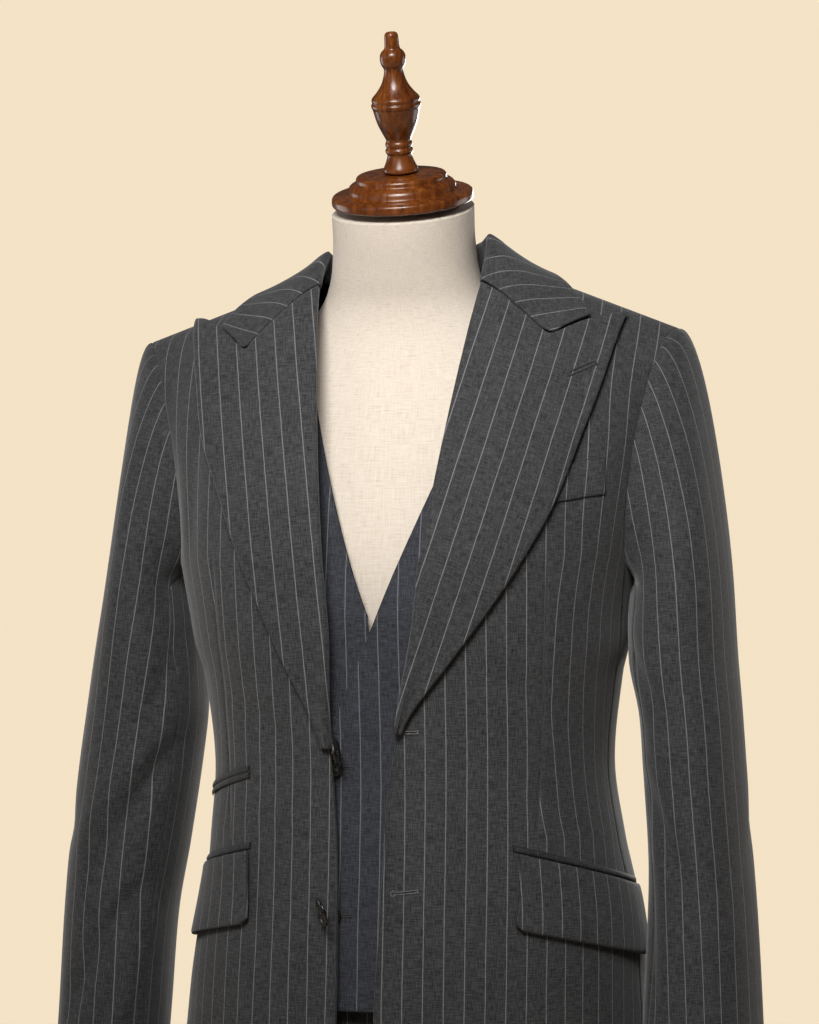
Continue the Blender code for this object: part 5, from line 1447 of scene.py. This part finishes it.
def linen_look():
    """Linen stretched on the bust: crossing uneven threads with slubs."""
    look = Look("bust_linen", 0.92, Sheen_Weight=0.10, Specular_IOR_Level=0.25)
    u, v = look.place("cut")
    warp = look.noise((u, v), THREAD_SCALES, 1.0)
    weft = look.noise((u, v), THREAD_SCALES[::-1], 4.0)
    thread = look.plus(look.times(warp, 0.5), look.times(weft, 0.5))
    cross = look.times(*(look.maths("SINE", look.times(way, LINEN_LINES)) for way in (u, v)))
    slub = look.noise((u, v), (160.0, 900.0), 9.0, 3.0)
    tone = look.plus(look.times(thread, 0.7), look.times(slub, 0.3))
    colour = look.colours(tone, ((0.30, (0.44, 0.36, 0.275)), (0.46, (0.615, 0.535, 0.45)),
                                 (0.70, (0.71, 0.64, 0.55))))
    return look.finish(colour, look.plus(tone, look.times(cross, 0.12)), 0.00035, 0.8)


def wood_look():
    """Red-brown lacquered wood with a fine grain along the turning."""
    look = Look("lacquered_wood", 0.34, Coat_Weight=0.35, Coat_Roughness=0.12,
                Specular_IOR_Level=0.3)
    place = look.object_place()
    grain = look.noise(place, (260.0, 260.0, 26.0), 0.0, 5.0, 0.6, 0.6)
    pores = look.noise(place, (1400.0, 1400.0, 90.0))
    broad = look.noise(place, (30.0, 30.0, 9.0))
    tone = look.plus(look.times(grain, 0.65), look.times(broad, 0.35))
    colour = look.colours(tone, ((0.30, (0.040, 0.008, 0.001)), (0.50, (0.125, 0.031, 0.004)),
                                 (0.70, (0.265, 0.082, 0.011))))
    colour = look.blend(look.ramp(pores, 0.42, 0.30, 0.0, 0.45), colour, (0.018, 0.004, 0.002))
    height = look.plus(look.times(grain, 0.6), look.times(pores, 0.4))
    return look.finish(colour, height, 0.00012, 0.35, look.ramp(grain, 0.3, 0.7, 0.24, 0.40))


def horn_look():
    """Brown horn: clouded streaks under a polish."""
    look = Look("polished_horn", 0.25, Coat_Weight=0.35, Coat_Roughness=0.08,
                Specular_IOR_Level=0.35)
    place = look.object_place()
    cloud = look.noise(place, (190.0, 320.0, 420.0), 0.0, 4.0, 0.6, 1.2)
    colour = look.colours(cloud, ((0.36, (0.003, 0.0025, 0.002)), (0.60, (0.010, 0.007, 0.004)),
                                  (0.78, (0.070, 0.048, 0.022))))
    scratch = look.noise(place, (2600.0, 700.0, 700.0))
    return look.finish(colour, scratch, 0.00004, 0.4, look.ramp(cloud, 0.3, 0.7, 0.20, 0.36))


def thread_look(name, dark, light):
    """Twisted sewing thread."""
    look = Look(name, 0.75, Sheen_Weight=0.2)
    twist = look.noise(look.object_place(), (1900.0, 1900.0, 1900.0))
    return look.finish(look.colours(twist, ((0.35, dark), (0.65, light))), twist, 0.0002, 0.6)


def floor_look():
    """Pale matt floor, hardly clouded."""
    look = Look("pale_floor", 0.9, Specular_IOR_Level=0.2)
    soft = look.noise(look.object_place()[:2], (3.0, 3.0), 0.0, 4.0)
    return look.finish(look.colours(soft, ((0.3, (0.70, 0.62, 0.48)), (0.7, (0.76, 0.68, 0.54)))),
                       soft, 0.001, 0.1)


# ---- buttons and buttonholes ---------------------------------------------------------------
def tube_along(name, path, radii, sides, material, closed=False):
    """A tube round a path of points, with its own radius at each point."""
    path, radii = np.asarray(path, float), np.broadcast_to(radii, (len(path),))
    if closed:
        heading = np.roll(path, -1, 0) - np.roll(path, 1, 0)
    else:
        heading = np.gradient(path, axis=0)
    heading = unit(heading)
    guide = np.array((0.0, 0.0, 1.0)) if abs(heading[:, 2]).mean() < 0.8 else np.array((1.0, 0, 0))
    first = unit(np.cross(heading, guide))
    second = np.cross(heading, first)
    turns = np.linspace(0.0, 2 * math.pi, sides, endpoint=False)[None, :, None]
    points = (path[:, None] + (np.cos(turns) * first[:, None] + np.sin(turns) * second[:, None])
              * radii[:, None, None])
    count = len(path)
    index = np.arange(count * sides).reshape(count, sides)
    faces = ring_faces(index, closed)
    return make_mesh(name, points.reshape(-1, 3), faces, {}, material)


def ring_faces(index, closed=False):
    """Quads between rings of points. closed: the last ring meets the first one."""
    here, ahead = (index, np.roll(index, -1, 0)) if closed else (index[:-1], index[1:])
    faces = np.stack((here, np.roll(here, -1, 1), np.roll(ahead, -1, 1), ahead), -1)
    faces = faces.reshape(-1, 4)
    if closed:
        return faces
    return np.concatenate((faces, cap_faces(index[0][::-1]), cap_faces(index[-1])))


def cap_faces(ring):
    """Quads that close an even ring of points."""
    half = len(ring) // 2
    return np.array([[ring[i], ring[i + 1], ring[-i - 2], ring[-i - 1]] for i in range(half - 1)])


def buttonhole(name, surface_at, length, half_width, key, material, relief):
    """A worked buttonhole: a ribbed loop of thread round a slit, on the cloth's face.

    surface_at(along, across) gives the points on the cloth. key: radius of the round end.
    """
    straight = length / 2 - half_width
    ends = np.linspace(-math.pi / 2, math.pi / 2, 14)
    key_turns = np.linspace(math.pi / 2, 3 * math.pi / 2, 18)
    runs = np.linspace(-straight, straight, 60)[1:-1]
    along = np.concatenate((straight + half_width * np.cos(ends), runs[::-1],
                            -straight + key * np.cos(key_turns), runs))
    across = np.concatenate((half_width * np.sin(ends), np.full(len(runs), half_width),
                             key * np.sin(key_turns), np.full(len(runs), -half_width)))
    path = surface_at(along, across)
    ribs = 0.82 + 0.18 * np.sin(np.arange(len(path)) * 1.9)
    loop = tube_along(name, path, relief * ribs, 8, material, closed=True)
    bar = surface_at(np.full(9, straight + half_width * 1.25),
                     np.linspace(-half_width * 1.6, half_width * 1.6, 9))
    tack = tube_along(name + "_bar", bar, relief * 1.15, 8, material)
    for thing in (loop, tack):
        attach(thing, "root")
    return [loop, tack]


def tilted_place(centre, tilt, along, across):
    """x and height of a place along and across from a centre, tilted by that many degrees."""
    turn = math.radians(tilt)
    return (centre[0] + along * math.cos(turn) - across * math.sin(turn),
            centre[1] + along * math.sin(turn) + across * math.cos(turn))


def hole_places(side, centre, tilt, stand, surface, extra):
    """surface_at for a buttonhole round a point (x, height) of a front or lapel."""
    def surface_at(along, across):
        x, height = tilted_place(centre, tilt, along, across)
        s, t = find_on(surface, side, side * x, height)
        points = raised(surface, s, t, side, stand)
        return points + normal_of(surface, s, t, side) * column_of(extra(points))
    return surface_at


def make_buttonholes(pale, dark):
    """Buttonholes that show, on the left front, the left lapel and the waistcoat."""
    made = {"front": [], "lapel": [], "waistcoat": []}
    surface = jacket_front(LEFT)
    for name, centre, tilt, key in FRONT_HOLES:
        places = hole_places(LEFT, centre, tilt, 0.0002, surface, body_creases)
        made["front"] += buttonhole(name, places, HOLE_LENGTH, 0.0010, key, pale, 0.00055)
    places = hole_places(LEFT, LAPEL_HOLE[0], LAPEL_HOLE[1], LAPEL_STAND + 0.0001, surface,
                         body_creases)
    made["lapel"] = buttonhole("lapel_buttonhole", places, LAPEL_HOLE[2], 0.0015, 0.0015, dark,
                               0.00085)

    def vest(s, t):
        return front_point(WAISTCOAT, LEFT, np.clip(s, 0, 1), np.clip(t, 0, 2))

    for name, centre, tilt in WAISTCOAT_HOLES:
        def places(along, across, centre=centre, tilt=tilt):
            x, height = tilted_place(centre, tilt, along, across)
            t = (height - WAISTCOAT["hem"]) / (WAISTCOAT["chest"] - WAISTCOAT["hem"])
            edge = smooth_value(WAISTCOAT_EDGE, height, 1)
            far = front_point(WAISTCOAT, LEFT, 0.5, t)[..., 0]
            s = 0.5 * (x - edge) / (far - edge)
            for _ in range(8):
                here = vest(s, t)[..., 0]
                s = s + (x - here) / np.maximum((vest(s + 0.002, t)[..., 0] - here) / 0.002, 0.02)
            return raised(vest, s, t, LEFT, 0.0002)
        made["waistcoat"] += buttonhole(name, places, 0.0125, 0.0009, 0.0009, dark, 0.00045)
    return made


def finer_profile(profile, times=2):
    """Corner cutting on a turned profile; its two ends stay."""
    points = np.array(profile)
    for _ in range(times):
        cut = [points[0]]
        for start, end in zip(points, points[1:]):
            cut += [mix(start, end, 0.25), mix(start, end, 0.75)]
        points = np.array(cut + [points[-1]])
    return points


def lathe(name, profile, segments, material, matrix):
    """A turned solid from a profile of (radius, height), foot first, on the axis."""
    profile = np.array(profile, float)
    turns = np.linspace(0.0, 2 * math.pi, segments, endpoint=False)
    radius, height = np.maximum(profile[:, :1], 1e-5), profile[:, 1:]
    points = stack(radius * np.cos(turns), radius * np.sin(turns), height)
    index = np.arange(points.shape[0] * segments).reshape(-1, segments)
    thing = make_mesh(name, points.reshape(-1, 3), ring_faces(index), {}, material)
    thing.data.transform(matrix)
    return thing


def facing_matrix(centre, facing):
    turn = Vector(facing).to_track_quat("Z", "Y").to_matrix().to_4x4()
    return Matrix.Translation(centre) @ turn


def make_buttons(horn, thread):
    """Four-hole buttons with a rim and a dished face, sewn on with a wound shank."""
    for name, diameter, centre, facing in BUTTONS:
        rim = diameter / 2
        place = facing_matrix(centre, facing)
        profile = ((0.0, -0.0010), (rim * 0.55, -0.0011), (rim * 0.88, -0.0008),
                   (rim * 0.98, 0.0000), (rim, 0.0007), (rim * 0.96, 0.0015),
                   (rim * 0.86, 0.0019), (rim * 0.78, 0.0017), (rim * 0.70, 0.0010),
                   (rim * 0.40, 0.0006), (0.0, 0.0005))
        disc = lathe(name + "_disc", finer_profile(profile), 64, horn, Matrix())
        cut_holes(disc, diameter)
        disc.data.transform(place)
        settle(disc, name)
        hole = diameter * HOLE_SPREAD
        corners = [(x * hole, y * hole) for x, y in ((1, 1), (-1, -1), (1, -1), (-1, 1))]
        for number, (start, end) in enumerate(((corners[0], corners[1]), (corners[2], corners[3]))):
            u = np.linspace(-1.0, 1.0, 15)
            path = np.stack((mix(start[0], end[0], (u + 1) / 2), mix(start[1], end[1], (u + 1) / 2),
                             0.0012 - 0.0016 * u ** 6), -1)
            strand = tube_along(f"{name}_thread_{number}", path, diameter * 0.020, 8, thread)
            strand.data.transform(place)
            settle(strand, None)
        wound = np.linspace(-diameter * SHANK_SHARE, -0.0008, 40)
        spin = np.linspace(0.0, 2 * math.pi * 6, 40)
        shank = lathe(name + "_shank", np.stack((0.00135 + 0.00022 * np.sin(spin), wound), -1), 20,
                      thread, place)
        settle(shank, None)


def cut_holes(disc, diameter):
    """Four holes through a button."""
    drill = bpy.data.meshes.new("drill")
    rings, faces = [], []
    sides, radius, spread = 14, diameter * 0.044, diameter * HOLE_SPREAD
    for x, y in ((1, 1), (-1, 1), (-1, -1), (1, -1)):
        first = len(rings)
        for z in (-0.004, 0.004):
            rings += [(x * spread + radius * math.cos(turn), y * spread + radius * math.sin(turn),
                       z) for turn in np.linspace(0, 2 * math.pi, sides, endpoint=False)]
        faces.append(list(range(first, first + sides))[::-1])
        faces.append(list(range(first + sides, first + 2 * sides)))
        for i in range(sides):
            after = (i + 1) % sides
            faces.append([first + i, first + after, first + sides + after, first + sides + i])
    drill.from_pydata(rings, [], faces)
    tool = add_object("drill", drill)
    cut = disc.modifiers.new("holes", "BOOLEAN")
    cut.operation, cut.solver, cut.object = "DIFFERENCE", "EXACT", tool
    shape = bpy.data.meshes.new_from_object(disc.evaluated_get(
        bpy.context.evaluated_depsgraph_get()))
    disc.modifiers.clear()
    disc.data = shape
    bpy.data.objects.remove(tool)


# ---- bust and stand ------------------------------------------------------------------------
def make_form(linen, wood):
    heights = np.concatenate((np.linspace(0.8850, 1.572, 118), (1.5736, 1.574)))
    angle, height = np.meshgrid(np.linspace(0.0, 360.0, FORM_SIDES, endpoint=False), heights)
    points = form_point(height, angle)
    lean = math.tan(CAP_TILT) * smoothstep(1.500, 1.574, height)
    points[..., 2] += lean * (points[..., 1] - CAP_CENTRE[1])
    index = np.arange(points.shape[0] * FORM_SIDES).reshape(-1, FORM_SIDES)
    turned = np.abs((angle + 90.0) % 360.0 - 180.0)
    cut = (np.radians(turned).ravel() * FORM_RADIUS, height.ravel())
    body = make_mesh("bust", points.reshape(-1, 3), ring_faces(index), {"cut": cut}, linen)
    settle(body, "form_body")

    axis = np.array((0.0, -math.sin(CAP_TILT), math.cos(CAP_TILT)))
    turn = Matrix.Rotation(CAP_TILT, 4, "X")
    for name, profile, rise in (("cap", CAP_PROFILE, 0.0),
                                ("finial", FINIAL_PROFILE, CAP_PROFILE[-1][1] + TOUCH_GAP)):
        centre = Vector(np.array(CAP_CENTRE) + axis * rise)
        piece = lathe("bust_" + name, finer_profile(profile), 96, wood,
                      Matrix.Translation(centre) @ turn)
        settle(piece, "form_" + name)
    foot = lathe("bust_foot", finer_profile(BASE_PROFILE), 128, wood, Matrix())
    settle(foot, "form_base")
    bottom, top = BASE_PROFILE[-1][1] + TOUCH_GAP, FORM_BODY[0][0] - TOUCH_GAP
    rod = ((0.0, bottom), (POLE_RADIUS * 0.97, bottom), (POLE_RADIUS, bottom + 0.002),
           (POLE_RADIUS, 0.45), (POLE_RADIUS, top - 0.002), (POLE_RADIUS * 0.97, top), (0.0, top))
    settle(lathe("bust_pole", rod, 48, wood, Matrix()), "form_pole")


# ---- stage, light and camera ---------------------------------------------------------------
def make_stage():
    turns = np.linspace(0.0, 2 * math.pi, 96, endpoint=False)
    ring = [(FLOOR_RADIUS * math.cos(turn), FLOOR_RADIUS * math.sin(turn), 0.0) for turn in turns]
    mesh = bpy.data.meshes.new("floor")
    mesh.from_pydata(ring, [], [list(range(len(ring)))])
    mesh.materials.append(floor_look())
    add_object("floor", mesh)


def make_light():
    world = bpy.data.worlds.new("studio")
    bpy.context.scene.world = world
    world.use_nodes = True
    tree = world.node_tree
    light = tree.nodes["Background"]
    light.inputs["Color"].default_value = (*WORLD_LIGHT, 1.0)
    light.inputs["Strength"].default_value = WORLD_STRENGTH
    seen = tree.nodes.new("ShaderNodeBackground")
    seen.inputs["Color"].default_value = (*WORLD_SEEN, 1.0)
    path, join = tree.nodes.new("ShaderNodeLightPath"), tree.nodes.new("ShaderNodeMixShader")
    tree.links.new(path.outputs["Is Camera Ray"], join.inputs[0])
    tree.links.new(light.outputs[0], join.inputs[1])
    tree.links.new(seen.outputs[0], join.inputs[2])
    tree.links.new(join.outputs[0], tree.nodes["World Output"].inputs["Surface"])
    for name, place, target, size, spread, power, colour in LIGHTS:
        lamp = bpy.data.lights.new(name, "AREA")
        lamp.shape, lamp.size, lamp.energy, lamp.color = "DISK", size, power, colour
        lamp.spread = math.radians(spread)
        thing = add_object(name, lamp)
        thing.location = place
        thing.visible_camera = False
        aim = Vector(target) - Vector(place)
        thing.rotation_euler = aim.to_track_quat("-Z", "Y").to_euler()


def make_camera():
    lens = bpy.data.cameras.new("camera")
    lens.sensor_fit = "VERTICAL"
    lens.sensor_height = 36.0
    lens.lens = FOCAL_PIXELS / PHOTO_HEIGHT * lens.sensor_height
    lens.clip_start, lens.clip_end = 0.05, 60.0
    camera = add_object("camera", lens)
    turn = math.radians(CAMERA_AZIMUTH)
    camera.location = (CAMERA_DISTANCE * math.sin(turn), -CAMERA_DISTANCE * math.cos(turn),
                       CAMERA_HEIGHT)
    camera.rotation_euler = (math.pi / 2, 0.0, turn)
    bpy.context.scene.camera = camera


# ---- dress the frame -----------------------------------------------------------------------
bpy.context.scene.view_settings.view_transform = "Standard"
# the last colour and share of each cloth are its painted shadow line along the finished edges
suiting = worsted("charcoal_worsted", (0.0130, 0.0130, 0.0138), (0.062, 0.062, 0.065),
                  (0.25, 0.25, 0.26), 0.74, (0.006, 0.006, 0.006), 0.55)
# the jets' cloth: a darker copy of the suiting that paints shade on the jets, with a strong painted
# shadow line at their edges
jet_shade_cloth = worsted("jet_painted_shade_worsted", (0.010, 0.010, 0.011), (0.042, 0.042, 0.044),
                   (0.14, 0.14, 0.145), 0.25, (0.003, 0.003, 0.003), 0.85)
waistcoating = worsted("blue_grey_worsted", (0.0120, 0.0130, 0.0165), (0.050, 0.053, 0.065),
                       (0.21, 0.215, 0.23), 0.70, (0.006, 0.006, 0.007), 0.50)
horn = horn_look()
pale_thread = thread_look("grey_thread", (0.05, 0.05, 0.05), (0.14, 0.14, 0.14))
dark_thread = thread_look("black_thread", (0.004, 0.004, 0.005), (0.020, 0.020, 0.021))

holes = make_buttonholes(pale_thread, dark_thread)
jets = make_pockets(suiting, jet_shade_cloth)
make_jacket_body(suiting)
make_sleeves(suiting)
make_lapels(suiting)
make_collar(suiting)
make_welt(suiting)
make_waistcoat(waistcoating)
make_trousers(suiting)
make_buttons(horn, dark_thread)
make_form(linen_look(), wood_look())
make_stage()
make_light()
make_camera()
